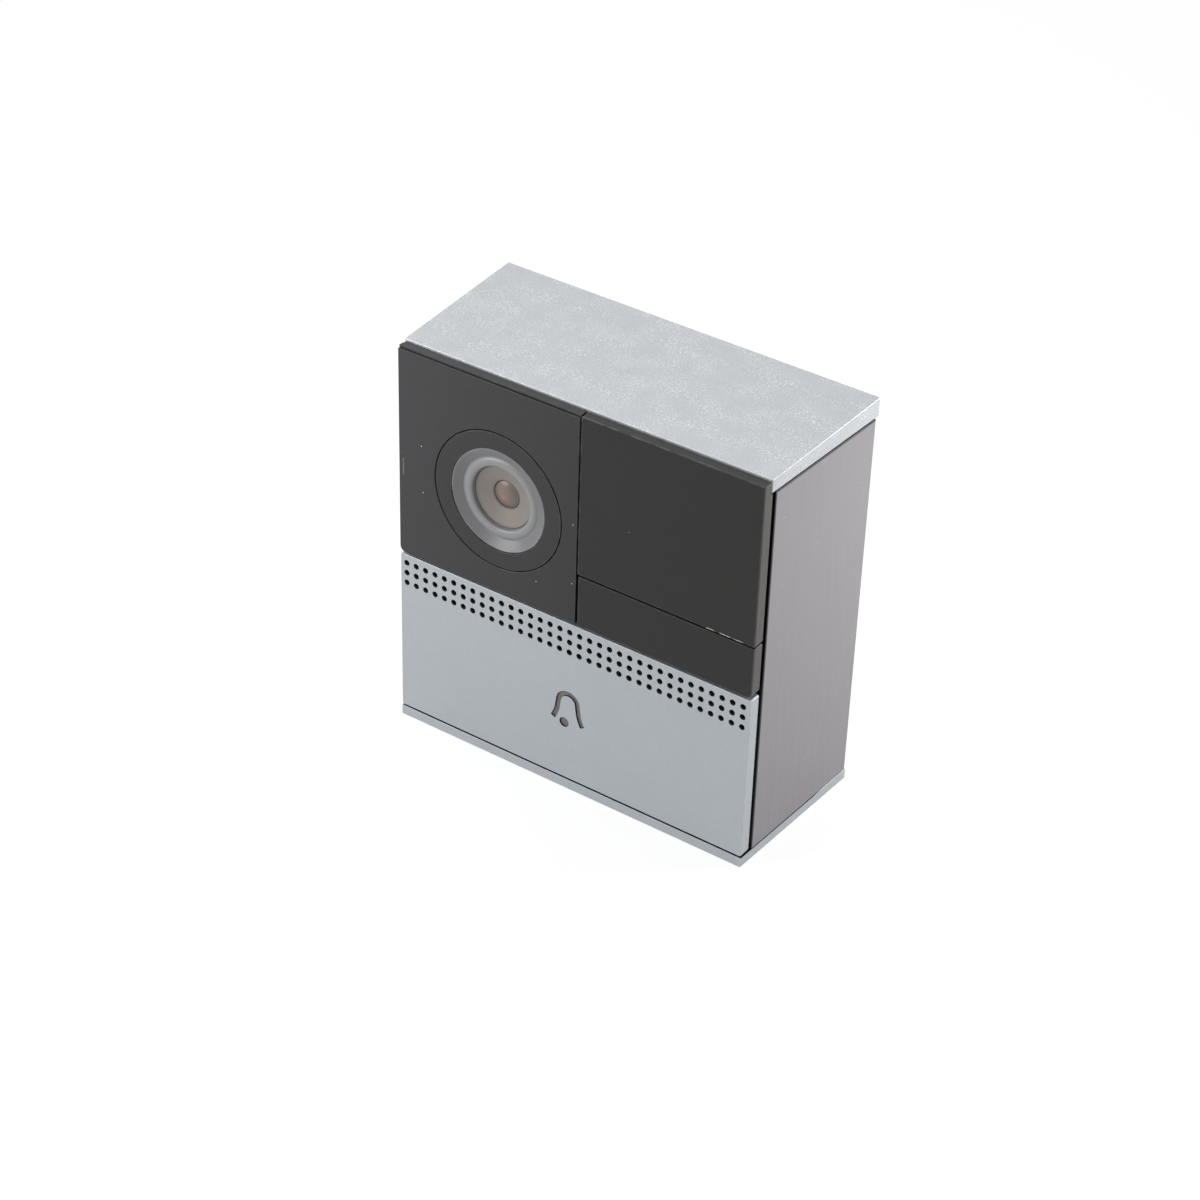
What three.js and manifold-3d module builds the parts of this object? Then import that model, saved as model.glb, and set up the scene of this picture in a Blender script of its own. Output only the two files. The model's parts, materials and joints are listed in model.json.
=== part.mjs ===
// Video doorbell: a flat square case with a camera, a motion-sensor window and a hinged push plate.
// Units are millimetres. While the parts are made, X runs across the front, Y runs from the front
// face (0) back to the wall, and Z runs up from the underside of the base plate (0). The last group
// moves the whole assembly so that the origin is at the centre of its footprint.
import * as THREE from "three";
import { mergeVertices } from "three/addons/utils/BufferGeometryUtils.js";
import Module from "manifold-3d";

const wasm = await Module();
wasm.setup();

// ---------------------------------------------------------------- case
const WIDTH = 80; // across the front face
const HEIGHT = 84.3; // underside to the top cover, where its slope would meet the front face
const DEPTH = 35.34; // front face to the back of the housing
const SIDE_DRAFT = 0.038; // each side leans out by this much for a millimetre of depth
const TOP_DRAFT = 0.0345; // the top cover rises by this much for a millimetre of depth
const BASE_T = 2.15; // base plate
const CAP_T = 2.65; // top cover, at the front face
const CAP_SETBACK = 2.2; // front face to the front edge of the top cover
const CAP_OVERHANG = 0.5; // the top cover reaches past the housing at the back
const PANEL_T = 1.5; // side panels
const PANEL_SETBACK = 3.45; // front face to the front edge of a side panel
const PANEL_REVEAL = 0.2; // joint between a side panel and the plates above and below it
const BOND = 0.05; // adhesive film behind a side panel
const WALL = 2; // housing, top, bottom and sides
const BACK_T = 4; // housing, back wall
const GASKET_T = 1; // foam seal against the wall
const TOTAL_DEPTH = DEPTH + GASKET_T;

// ---------------------------------------------------------------- front modules
const FRONT_T = 2.65; // thickness of the blocks that make the front face
const SKIN_T = 1.3; // front wall of a block
const RIM_T = 1.15; // rim behind the edge of a block
const TOP_STEP = 0.4; // the blocks end this far below the slope of the top cover
const SEAM = 0.28; // joints between the fixed blocks
const CAMERA_BLOCK_W = WIDTH / 2 + 1.15; // left edge to the upright seam
const STRIP_H = 11; // narrow window below the upright one
const PLATE_H = 35.9; // push plate
const PLATE_GAP = 0.4; // running gap round the push plate
const CHASSIS_BACK = 5.2; // where the chassis meets the housing
const PRESS_ROOM = 0.65; // free depth behind the push plate
const FIT = 0.15; // clearance of a piece in its recess

const halfWidth = (y) => WIDTH / 2 + SIDE_DRAFT * y;
const topAt = (y) => HEIGHT + TOP_DRAFT * y;
const LEFT = -WIDTH / 2;
const RIGHT = WIDTH / 2;
const PLATE_Z0 = BASE_T + PLATE_GAP;
const PLATE_Z1 = PLATE_Z0 + PLATE_H;
const BLACK_Z0 = PLATE_Z1 + PLATE_GAP;
const FRONT_TOP = HEIGHT - TOP_STEP;
const STRIP_Z1 = BLACK_Z0 + STRIP_H;
const SEAM_X = LEFT + CAMERA_BLOCK_W;
const HOUSING_TOP = HEIGHT - CAP_T;
const CHASSIS_TOP = HOUSING_TOP - PANEL_REVEAL;
const CHASSIS_HALF = halfWidth(PANEL_SETBACK) - PANEL_T - 0.2;
const CAVITY_HALF = halfWidth(CHASSIS_BACK) - PANEL_T - BOND - WALL;
const CAVITY_Z0 = BASE_T + WALL;
const CAVITY_BACK = DEPTH - BACK_T;

// ---------------------------------------------------------------- camera
const CAMERA_X = SEAM_X - 18.17;
const CAMERA_Z = BLACK_Z0 + 20.02;
const RING_R = 14.4; // black ring round the lens, with its groove outside
const RING_GROOVE = 0.2;
const BEZEL_R = 10.6; // opening of the black ring
const BEZEL_FLANGE_R = 12.2;
const BEZEL_SEAT = 0.4; // front face to the edge of the bezel
const CREST_R = 7.5; // crown of the bezel's round bead
const DISC_R = 6.45; // front of the lens barrel
const DISC_SEAT = 1.85; // front face to the rim of the lens barrel
const PUPIL_R = 2.75;
const PUPIL_SEAT = 3.0;
const BARREL_R = 5.5;
const BARREL_BACK = 9;
const PUPIL_CROWN = 2.35; // front face to the crown of the front lens
const HOLDER_BACK = 13.6;
const EAR_SCREW_REACH = 12.2; // lens axis to a screw of the lens holder
const FOOT_T = 2; // feet of the lens holder
const HOLDER_PINS = [[-9, -7], [9, 7]]; // from the lens axis
const FILTER_SLOT = [9.5, 10.9]; // where the sliding filter runs, behind the barrel
const BOARD_T = 1.2; // small circuit boards
const STAKE_R = 0.9; // pins that hold the small boards
const STAKE_END = 0.7; // a pin's melted end stands this proud of its board

// ---------------------------------------------------------------- push plate and grille
const HOLE_COLUMNS = 35;
const HOLE_ROWS = 3;
const HOLE_PITCH = 2.259;
const HOLE_R = 0.58;
const HOLE_DROP = 1.9; // top edge of the plate to the middle of the first row
const PIVOT_DROP = 2.45; // top edge of the plate to its hinge axis
const PIVOT_Y = 4.9;
const PIVOT_R = 0.6;
const EAR_T = 1.5;
const EAR_R = 1.2;
const EAR_INSET = 8; // side of the plate to the middle of its hinge ear
const CHEEK_T = 1.8;
const BELL_Z = 17.6; // top of the base plate to the middle of the bell's arch
const BELL_R = 2.2;
const BELL_STROKE = 1.04;
const BELL_DOT_R = 1.03;
const BELL_SINK = 0.3; // the light guide lies this far below the face
const POST_Z = BASE_T + 7.35; // height of the post that presses the switch
const POST_R = 1.8;
const POST_END = 6;
const SWITCH_SIZE = 6.2;
const SWITCH_FRONT = 7;
const SWITCH_BACK = 9.5;
const PLUNGER_R = 1.7;
const PLUNGER_GAP = 0.08;
const STOP_X = RIGHT - 16; // rubber stops behind the lower corners of the plate
const STOP_Z = PLATE_Z0 + 4;
const STOP_R = 2.2;
const BUTTON_BOARD_HALF = 12;

const PIVOT_Z = PLATE_Z1 - PIVOT_DROP;
const EAR_X = RIGHT - EAR_INSET;
const BELL_CENTRE_Z = BASE_T + BELL_Z + 0.4;

// ---------------------------------------------------------------- sensors and sound
const SENSOR_X = RIGHT - 22;
const SENSOR_BOARD_Y = 8.4;
const PIR_Z = STRIP_Z1 + 20; // motion sensor
const PIR_R = 4.6;
const LED_Z = STRIP_Z1 + 10; // infrared lamps
const LED_SPREAD = 8.5;
const LED_R = 2.5;
const LIGHT_Z = BLACK_Z0 + 5.5; // light sensor
const MIC_X = LEFT + 17;
const MIC_Z = PLATE_Z1 - 4.15;
const MIC_R = 2.05;
const MIC_BOOT_R = 3.2;
const SPEAKER_MARGIN = 4;
const SPEAKER_LEFT = MIC_X + MIC_BOOT_R + SPEAKER_MARGIN + 0.8;
const SPEAKER_RIGHT = EAR_X - EAR_T / 2 - PLATE_GAP - CHEEK_T - SPEAKER_MARGIN - 0.05;
const SPEAKER_X = (SPEAKER_LEFT + SPEAKER_RIGHT) / 2;
const SPEAKER_HALF_W = (SPEAKER_RIGHT - SPEAKER_LEFT) / 2;
const SPEAKER_HALF_H = 8;
const SPEAKER_Z = PLATE_Z1 - 0.45 - SPEAKER_HALF_H;
const SPEAKER_WALL = 1.5;
const SPEAKER_FRONT = 6; // front of the frame; the foam ring lies before it
const SPEAKER_BACK = 11.5;
const VOICE_R = 6; // voice coil, which runs between the magnet and its cup

// ---------------------------------------------------------------- inside and back
const MAIN_BOARD_Y = 18;
const MAIN_BOARD_T = 1.6;
const MAIN_BACK = MAIN_BOARD_Y + MAIN_BOARD_T;
const BRACKET_T = 1.6;
const BRACKET_INSET = 9.5; // side of the case to the side of the bracket
const BRACKET_HALF = WIDTH / 2 - BRACKET_INSET;
const BRACKET_MARGIN = 8.5; // base plate's underside to the bracket, and its top to the housing's
const RECESS = BRACKET_T + 0.1;
const BRACKET_RAIL = 4.5; // bracket material beside its window
const WINDOW_HALF = BRACKET_HALF - BRACKET_RAIL;
const WINDOW_Z0 = 43.5;
const WINDOW_Z1 = 64;
const HOOK_SPREAD = BRACKET_HALF - 12.5; // middle of the case to a bracket hook
const HOOK_W = 6;
const HOOK_T = 1.2;
const CORNER_INSET = 3.4; // housing wall to a corner screw
const CORNER_END = 14; // back of a corner boss
const BOARD_GAP = 2.65; // housing wall to the edge of the main board
const POST_INSET = 4; // edge of the main board to a post
const BOSS_R = 3;
const SCREW_R = 0.95;
const SCREW_HEAD_R = 1.9;
const HEAD_T = 1.4;
const LOW_HEAD_T = 1.2; // the corner screws lie behind the front blocks
const CROSS_DEPTH = 0.6;
const LUG_DROP = 5.84; // back of the case to the locking screw, which enters the bracket's lug
const LUG_Y = DEPTH - LUG_DROP;
const LOCK_R = 1.25;
const LOCK_HOLE_R = 1.7;
const LOCK_HEAD_R = 2.6;
const LOCK_HEAD_T = 1.4; // underside of the case to the seat of the locking screw's head
const LUG_HALF = 5;
const BRACKET_EDGE = 0.5; // clearance of the bracket in its recess
const SLOT_INSET = 4.2; // side of the bracket to the middle of a slot for a wall screw
const SLOT_R = 2.2;
const SLOT_HALF_H = 4;
const JACK_W = 16;
const TERMINAL_PITCH = 5;
const RESET_R = 2.2;
const TAMPER_R = 2;

const RECESS_FLOOR = DEPTH - RECESS;
const CORNER_X = CAVITY_HALF - CORNER_INSET;
const CORNER_Z0 = CAVITY_Z0 + CORNER_INSET + 0.6;
const CORNER_Z1 = HOUSING_TOP - WALL - CORNER_INSET - 0.6;
const BUTTONS_Z = 26; // rear service buttons
const BUTTONS_X = 20;
const REAR_ROOM = CAVITY_BACK - MAIN_BACK; // depth behind the main board
const atRear = (share) => MAIN_BACK + share * REAR_ROOM;
const BOARD_HALF = CAVITY_HALF - BOARD_GAP;
const POST_X = BOARD_HALF - POST_INSET;

// ---------------------------------------------------------------- solids
function solid(geometry) {
  const bare = geometry.clone();
  bare.deleteAttribute("normal");
  bare.deleteAttribute("uv");
  const merged = mergeVertices(bare, 1e-5);
  const vertProperties = new Float32Array(merged.attributes.position.array);
  const triVerts = new Uint32Array(merged.index.array);
  return new wasm.Manifold(new wasm.Mesh({ numProp: 3, vertProperties, triVerts }));
}

function geometryOf(body) {
  const mesh = body.getMesh();
  const geometry = new THREE.BufferGeometry();
  geometry.setAttribute("position", new THREE.BufferAttribute(new Float32Array(mesh.vertProperties), 3));
  geometry.setIndex(new THREE.BufferAttribute(new Uint32Array(mesh.triVerts), 1));
  return geometry;
}

const join = (first, ...rest) => rest.reduce((body, other) => body.add(other), first);
const cut = (first, ...rest) => rest.reduce((body, other) => body.subtract(other), first);

function box(x0, x1, y0, y1, z0, z1) {
  const geometry = new THREE.BoxGeometry(x1 - x0, y1 - y0, z1 - z0);
  geometry.translate((x0 + x1) / 2, (y0 + y1) / 2, (z0 + z1) / 2);
  return solid(geometry);
}

// A box about x = cx and z = cz.
const block = (cx, cz, w, h, y0, y1) => box(cx - w / 2, cx + w / 2, y0, y1, cz - h / 2, cz + h / 2);

function rodY(r, y0, y1, x, z, sides = 16) {
  const geometry = new THREE.CylinderGeometry(r, r, y1 - y0, sides);
  geometry.translate(x, (y0 + y1) / 2, z);
  return solid(geometry);
}

function rodX(r, x0, x1, y, z, sides = 12) {
  const geometry = new THREE.CylinderGeometry(r, r, x1 - x0, sides);
  geometry.rotateZ(Math.PI / 2);
  geometry.translate((x0 + x1) / 2, y, z);
  return solid(geometry);
}

function rodZ(r, z0, z1, x, y, sides = 16) {
  const geometry = new THREE.CylinderGeometry(r, r, z1 - z0, sides);
  geometry.rotateX(Math.PI / 2);
  geometry.translate(x, y, (z0 + z1) / 2);
  return solid(geometry);
}

// A solid of revolution about a line along Y. The profile is a list of [radius, y].
function turned(profile, x, z, sides = 24) {
  const points = profile.map(([r, y]) => new THREE.Vector2(r, y));
  const area = THREE.ShapeUtils.area(points);
  if (area < 0) points.reverse();
  if (profile[0][0] > 0) points.push(points[0].clone());
  const geometry = new THREE.LatheGeometry(points, sides);
  geometry.translate(x, 0, z);
  return solid(geometry);
}

// An outline in the XZ plane, given depth from y0 to y1.
function slab(shape, y0, y1, curveSegments = 4) {
  const geometry = new THREE.ExtrudeGeometry(shape, { depth: y1 - y0, bevelEnabled: false, curveSegments });
  geometry.rotateX(Math.PI / 2);
  geometry.translate(0, y1, 0);
  return solid(geometry);
}

// A rectangle with round corners; radii are bottom left, bottom right, top right, top left.
function roundedRect(x0, x1, z0, z1, radii) {
  const [bl, br, tr, tl] = Array.isArray(radii) ? radii : [radii, radii, radii, radii];
  const shape = new THREE.Shape();
  shape.moveTo(x0 + bl, z0);
  shape.lineTo(x1 - br, z0);
  shape.absarc(x1 - br, z0 + br, br, -Math.PI / 2, 0, false);
  shape.lineTo(x1, z1 - tr);
  shape.absarc(x1 - tr, z1 - tr, tr, 0, Math.PI / 2, false);
  shape.lineTo(x0 + tl, z1);
  shape.absarc(x0 + tl, z1 - tl, tl, Math.PI / 2, Math.PI, false);
  shape.lineTo(x0, z0 + bl);
  shape.absarc(x0 + bl, z0 + bl, bl, Math.PI, 1.5 * Math.PI, false);
  return shape;
}

// A plate between the drafted sides: its edges are side() from the middle, and top() above.
function draftedPlate(y0, y1, inner, outer, bottom, top) {
  const corners = [];
  for (const y of [y0, y1]) {
    corners.push([inner(y), y, bottom], [outer(y), y, bottom]);
    corners.push([outer(y), y, top(y)], [inner(y), y, top(y)]);
  }
  const quads = [[0, 1, 2, 3], [4, 7, 6, 5], [0, 4, 5, 1], [3, 2, 6, 7], [1, 5, 6, 2], [0, 3, 7, 4]];
  const faces = quads.flatMap(([a, b, c, d]) => [a, b, c, a, c, d]);
  const geometry = new THREE.BufferGeometry();
  geometry.setAttribute("position", new THREE.BufferAttribute(new Float32Array(corners.flat()), 3));
  geometry.setIndex(faces);
  return solid(geometry);
}

// ---------------------------------------------------------------- materials
const finish = (color, roughness, metalness = 0) => (
  new THREE.MeshStandardMaterial({ color, roughness, metalness })
);
const satinAluminium = () => finish(0xb4bac0, 0.45, 0.8);
const darkAnodised = () => finish(0x8c8a8e, 0.5, 0.6);
const blackAbs = () => finish(0x3c3b3c, 0.55);
const chassisBlack = () => finish(0x1c1c1d, 0.7);
const infraredPlastic = () => finish(0x2f2d2d, 0.35);
const greyBezel = () => finish(0x9a9a9b, 0.5);
const barrelGrey = () => finish(0x86807b, 0.5);
const glass = () => finish(0x6a5850, 0.08);
const circuitBoard = () => finish(0x1f5a34, 0.6);
const steel = () => finish(0xa9abad, 0.35, 1);
const rubber = () => finish(0x262626, 0.85);
const component = () => finish(0x222224, 0.5);
const greenNylon = () => finish(0x2f7a46, 0.55);
const smokedGuide = () => finish(0x6b6a6a, 0.4);

// ---------------------------------------------------------------- case parts
function basePlate() {
  const plate = draftedPlate(0, DEPTH, (y) => -halfWidth(y), halfWidth, 0, () => BASE_T);
  const headRecess = rodZ(LOCK_HEAD_R + 0.3, -1, LOCK_HEAD_T + 0.05, 0, LUG_Y);
  return cut(plate, headRecess, rodZ(LOCK_HOLE_R, -1, BASE_T + 1, 0, LUG_Y));
}

function topCap() {
  const back = DEPTH + CAP_OVERHANG;
  return draftedPlate(CAP_SETBACK, back, (y) => -halfWidth(y), halfWidth, HOUSING_TOP, topAt);
}

function sidePanel(side) {
  const inner = (y) => halfWidth(y) - PANEL_T;
  const top = () => HOUSING_TOP - PANEL_REVEAL;
  const bottom = BASE_T + FIT;
  if (side > 0) return draftedPlate(PANEL_SETBACK, DEPTH - 0.4, inner, halfWidth, bottom, top);
  return draftedPlate(PANEL_SETBACK, DEPTH - 0.4, (y) => -halfWidth(y), (y) => -inner(y), bottom, top);
}

function hookSlot(x) {
  const height = 6.5;
  const top = HOUSING_TOP - BRACKET_MARGIN - 1.85;
  return block(x, top - height / 2, HOOK_W + 1, height, CAVITY_BACK - 1, RECESS_FLOOR + 1);
}

function rearHousing() {
  const outer = (y) => halfWidth(y) - PANEL_T - BOND;
  let body = draftedPlate(CHASSIS_BACK, DEPTH, (y) => -outer(y), outer, BASE_T, () => HOUSING_TOP);
  body = cut(body, box(-CAVITY_HALF, CAVITY_HALF, 0, CAVITY_BACK, CAVITY_Z0, HOUSING_TOP - WALL));
  for (const x of [-CORNER_X, CORNER_X]) {
    for (const z of [CORNER_Z0, CORNER_Z1]) body = join(body, cornerBoss(x, z));
  }
  for (const [x, z] of boardPosts()) body = join(body, boardPost(x, z));
  const margin = BRACKET_MARGIN - BRACKET_EDGE;
  const half = BRACKET_HALF + BRACKET_EDGE;
  const recess = box(-half, half, RECESS_FLOOR, DEPTH + 1, margin, HOUSING_TOP - margin + 2);
  const window = box(-WINDOW_HALF, WINDOW_HALF, CAVITY_BACK - 1, DEPTH, WINDOW_Z0, WINDOW_Z1);
  const lugSlot = block(0, BRACKET_MARGIN + 1.6, 2 * LUG_HALF + 0.8, 4, CAVITY_BACK - 1, DEPTH);
  const resetHole = rodY(RESET_R + 0.3, CAVITY_BACK - 1, DEPTH, BUTTONS_X, BUTTONS_Z);
  const tamperHole = rodY(TAMPER_R + 0.4, CAVITY_BACK - 1, DEPTH, -BUTTONS_X, BUTTONS_Z);
  const screwHole = rodZ(LOCK_HOLE_R, 0, CAVITY_Z0 + 1, 0, LUG_Y);
  body = cut(body, recess, window, lugSlot, resetHole, tamperHole, screwHole);
  return cut(body, hookSlot(-HOOK_SPREAD), hookSlot(HOOK_SPREAD));
}

function cornerBoss(x, z) {
  const reach = CORNER_INSET + 1;
  const toWall = block(x + (Math.sign(x) * reach) / 2, z, reach, 2 * BOSS_R, CHASSIS_BACK, CORNER_END);
  const boss = join(rodY(BOSS_R, CHASSIS_BACK, CORNER_END, x, z), toWall);
  return cut(boss, rodY(SCREW_R + 0.1, 0, CORNER_END - 2, x, z, 8));
}

const boardPosts = () => [
  [-POST_X, CAVITY_Z0 + 8], [POST_X, CAVITY_Z0 + 8], [-POST_X, HOUSING_TOP - 10], [POST_X, HOUSING_TOP - 10],
];
const screwedPosts = () => boardPosts().slice(1, 3);
const boardPost = (x, z) => cut(
  rodY(BOSS_R, MAIN_BACK, CAVITY_BACK + 1, x, z),
  rodY(SCREW_R + 0.1, 0, MAIN_BACK + 6.4, x, z, 8),
);

function wallGasket() {
  const half = halfWidth(DEPTH) - PANEL_T - BOND - 0.6;
  const frame = box(-half, half, DEPTH, TOTAL_DEPTH, BASE_T + 1.8, HOUSING_TOP - 1.6);
  const inner = BRACKET_HALF + 2;
  return cut(frame, box(-inner, inner, 0, TOTAL_DEPTH + 1, BASE_T + 4.6, HOUSING_TOP - 4.6));
}

function bracketHook(x) {
  const top = HOUSING_TOP - BRACKET_MARGIN - 2.15;
  const finger = CAVITY_BACK - 0.3;
  const web = block(x, top - 1, HOOK_W, 2, finger - HOOK_T, DEPTH - BRACKET_T);
  return join(web, block(x, top + 0.5, HOOK_W, 5, finger - HOOK_T, finger));
}

function wallBracket() {
  const y0 = DEPTH - BRACKET_T;
  const z0 = BRACKET_MARGIN;
  const z1 = HOUSING_TOP - BRACKET_MARGIN + 1;
  let plate = slab(roundedRect(-BRACKET_HALF, BRACKET_HALF, z0, z1, 2), y0, DEPTH);
  const lug = box(-LUG_HALF, LUG_HALF, LUG_Y - 3, y0 + 0.5, z0, z0 + 3);
  plate = join(plate, bracketHook(-HOOK_SPREAD), bracketHook(HOOK_SPREAD), lug);
  const half = WINDOW_HALF - 0.5;
  const window = slab(roundedRect(-half, half, WINDOW_Z0, WINDOW_Z1, 2), 0, DEPTH + 1);
  const resetHole = rodY(4, y0 - 1, DEPTH + 1, BUTTONS_X, BUTTONS_Z);
  const tamperHole = rodY(3, y0 - 1, DEPTH + 1, -BUTTONS_X, BUTTONS_Z);
  plate = cut(plate, window, rodZ(LOCK_R + 0.2, 0, z0 + 4, 0, LUG_Y), resetHole, tamperHole);
  for (const x of [-BRACKET_HALF + SLOT_INSET, BRACKET_HALF - SLOT_INSET]) {
    for (const z of [z0 + 6.5, z1 - 6.5]) plate = cut(plate, screwSlot(x, z, y0 - 1));
  }
  return plate;
}

function screwSlot(x, z, y0) {
  const outline = roundedRect(x - SLOT_R, x + SLOT_R, z - SLOT_HALF_H, z + SLOT_HALF_H, SLOT_R - 0.01);
  return slab(outline, y0, DEPTH + 1);
}

function securityScrew() {
  const head = rodZ(LOCK_HEAD_R, FIT, LOCK_HEAD_T, 0, LUG_Y);
  const shank = rodZ(LOCK_R, LOCK_HEAD_T - 0.1, BRACKET_MARGIN + 2.7, 0, LUG_Y);
  const socket = rodZ(1.2, 0, 1, 0, LUG_Y, 6);
  return cut(join(head, shank), socket);
}

// ---------------------------------------------------------------- chassis
const sensorStakes = () => [
  [SENSOR_X - 11, LED_Z - 11], [SENSOR_X + 10, LED_Z - 11],
  [SENSOR_X - 11, PIR_Z + 3], [SENSOR_X + 9, PIR_Z + 3],
];
const buttonStakes = () => [
  [-9.5, POST_Z - 1], [9.5, POST_Z - 1], [-9.5, POST_Z + 8.5], [9.5, POST_Z + 8.5],
];

// A post that a board rests on, with a pin through it that is melted over.
const stake = (x, z, seat) => join(
  rodY(2 * STAKE_R, CHASSIS_BACK - 0.5, seat, x, z, 8),
  rodY(STAKE_R, seat - 0.5, seat + BOARD_T + STAKE_END, x, z, 8),
);
const stakeHole = (x, z) => rodY(STAKE_R + 0.1, 0, MAIN_BOARD_Y, x, z, 8);

function frontChassis() {
  const front = FRONT_T + PRESS_ROOM;
  let body = join(
    box(-CHASSIS_HALF, CHASSIS_HALF, front, CHASSIS_BACK, BASE_T + FIT, BLACK_Z0 + 1),
    box(-CHASSIS_HALF, CHASSIS_HALF, FRONT_T, CHASSIS_BACK, BLACK_Z0, CHASSIS_TOP),
  );
  for (const side of [-1, 1]) body = join(body, hingeCheeks(side));
  for (const [x, z] of sensorStakes()) body = join(body, stake(x, z, SENSOR_BOARD_Y));
  for (const [x, z] of buttonStakes()) body = join(body, stake(x, z, SWITCH_BACK));
  const through = (x, z, r) => rodY(r, 0, CHASSIS_BACK + 1, x, z);
  body = cut(
    body,
    through(CAMERA_X, CAMERA_Z, BARREL_R + 1.5),
    through(SENSOR_X, PIR_Z, PIR_R + 0.7),
    through(SENSOR_X - LED_SPREAD, LED_Z, LED_R + 0.4),
    through(SENSOR_X + LED_SPREAD, LED_Z, LED_R + 0.4),
    through(SENSOR_X, LIGHT_Z, 1.8),
    through(MIC_X, MIC_Z, 1.5),
    box(SPEAKER_LEFT + 3, SPEAKER_RIGHT - 3, 0, CHASSIS_BACK + 1, SPEAKER_Z + 1, PLATE_Z1 - 0.9),
    box(-4, 4, 0, CHASSIS_BACK + 1, POST_Z - 4, POST_Z + 4),
    box(-5.5, 5.5, 0, CHASSIS_BACK + 1, BELL_CENTRE_Z - 5.7, BELL_CENTRE_Z + 3.8),
  );
  for (const side of [-1, 1]) {
    body = cut(body, rodY(STOP_R + 0.1, 0, front + 1, side * STOP_X, STOP_Z), earSlot(side), pinBore(side));
    for (const z of [CORNER_Z0, CORNER_Z1]) {
      const x = side * CORNER_X;
      const headRoom = rodY(SCREW_HEAD_R + 0.4, 0, CHASSIS_BACK - 0.6, x, z);
      body = cut(body, headRoom, rodY(SCREW_R + FIT, 0, 8, x, z, 8));
    }
  }
  for (const dz of [-EAR_SCREW_REACH, EAR_SCREW_REACH]) {
    body = cut(body, rodY(SCREW_R + 0.1, CHASSIS_BACK - 1.9, 8, CAMERA_X, CAMERA_Z + dz, 8));
  }
  return body;
}

function hingeCheeks(side) {
  const half = EAR_T / 2 + PLATE_GAP;
  const x0 = side * EAR_X - half - CHEEK_T;
  const x1 = side * EAR_X + half + CHEEK_T;
  return box(x0, x1, CHASSIS_BACK - 0.5, PIVOT_Y + 2, PIVOT_Z - 1.8, PIVOT_Z + 1.8);
}

function earSlot(side) {
  return block(side * EAR_X, PIVOT_Z + 0.3, EAR_T + 2 * PLATE_GAP, 2 * EAR_R + 1.2, 0, PIVOT_Y + 3);
}

function pinSpan(side) {
  const reach = EAR_T / 2 + PLATE_GAP + CHEEK_T - 0.3;
  return [side * EAR_X - reach, side * EAR_X + reach];
}

function pinBore(side) {
  const [x0, x1] = pinSpan(side);
  const open = side > 0 ? [x0, x1 + 1] : [x0 - 1, x1];
  return rodX(PIVOT_R + 0.05, ...open, PIVOT_Y, PIVOT_Z);
}

function pivotPin(side) {
  const [x0, x1] = pinSpan(side);
  return rodX(PIVOT_R, x0 + 0.05, x1 - 0.05, PIVOT_Y, PIVOT_Z);
}

function buttonStop(side) {
  const seat = FRONT_T + PRESS_ROOM;
  return rodY(STOP_R, seat - 0.15, seat + 1, side * STOP_X, STOP_Z);
}

const crossRecess = (x, z, y0, y1) => join(block(x, z, 2.6, 0.6, y0, y1), block(x, z, 0.6, 2.6, y0, y1));

// A cross-head screw driven towards the back; its head ends at the seat.
function screwY(x, z, seat, tip, headT) {
  const head = rodY(SCREW_HEAD_R, seat - headT, seat, x, z, 12);
  const shank = rodY(SCREW_R, seat - 0.2, tip, x, z, 8);
  return cut(join(head, shank), crossRecess(x, z, seat - headT - 1, seat - headT + CROSS_DEPTH));
}

// The same screw, driven from behind towards the front.
function screwFromBehind(x, z, seat, tip, headT) {
  const head = rodY(SCREW_HEAD_R, seat, seat + headT, x, z, 12);
  const shank = rodY(SCREW_R, tip, seat + 0.2, x, z, 8);
  return cut(join(head, shank), crossRecess(x, z, seat + headT - CROSS_DEPTH, seat + headT + 1));
}

// ---------------------------------------------------------------- front face
// A block's back is stepped at the top, where the top cover lies behind it.
const topStep = () => box(LEFT - 1, RIGHT + 1, CAP_SETBACK - FIT, FRONT_T + 1, CHASSIS_TOP, HEIGHT + 1);

function cameraFascia() {
  const shape = roundedRect(LEFT, SEAM_X - SEAM / 2, BLACK_Z0, FRONT_TOP - 0.45, [1.2, 0.3, 0.3, 0.3]);
  return cut(slab(shape, 0, SKIN_T), rodY(RING_R + RING_GROOVE, -1, SKIN_T + 1, CAMERA_X, CAMERA_Z, 40));
}

function cameraTray() {
  const right = SEAM_X - SEAM / 2;
  const outline = roundedRect(LEFT + 0.1, right, BLACK_Z0, FRONT_TOP, [1.1, 0.3, 0.3, 0.3]);
  const back = slab(outline, SKIN_T, FRONT_T);
  const lip = box(LEFT + 0.1, right, 0.3, SKIN_T + 0.2, FRONT_TOP - 0.35, FRONT_TOP);
  const hole = rodY(BEZEL_FLANGE_R + FIT, 0, FRONT_T + 1, CAMERA_X, CAMERA_Z, 32);
  return cut(join(back, lip), hole, topStep());
}

function cameraRing() {
  const edge = 0.15;
  const profile = [
    [BEZEL_R + FIT, SKIN_T], [BEZEL_R + FIT, edge], [BEZEL_R + FIT + edge, 0],
    [RING_R - edge, 0], [RING_R, edge], [RING_R, SKIN_T],
  ];
  return turned(profile, CAMERA_X, CAMERA_Z, 40);
}

function pirWindow() {
  const left = SEAM_X + SEAM / 2;
  const face = slab(roundedRect(left, RIGHT, STRIP_Z1 + SEAM, FRONT_TOP, 0.4), 0, FRONT_T);
  const pocket = box(left + 2.5, RIGHT - 2.5, SKIN_T, FRONT_T + 1, STRIP_Z1 + 3, CHASSIS_TOP - 2);
  return cut(face, pocket, topStep());
}

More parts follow.
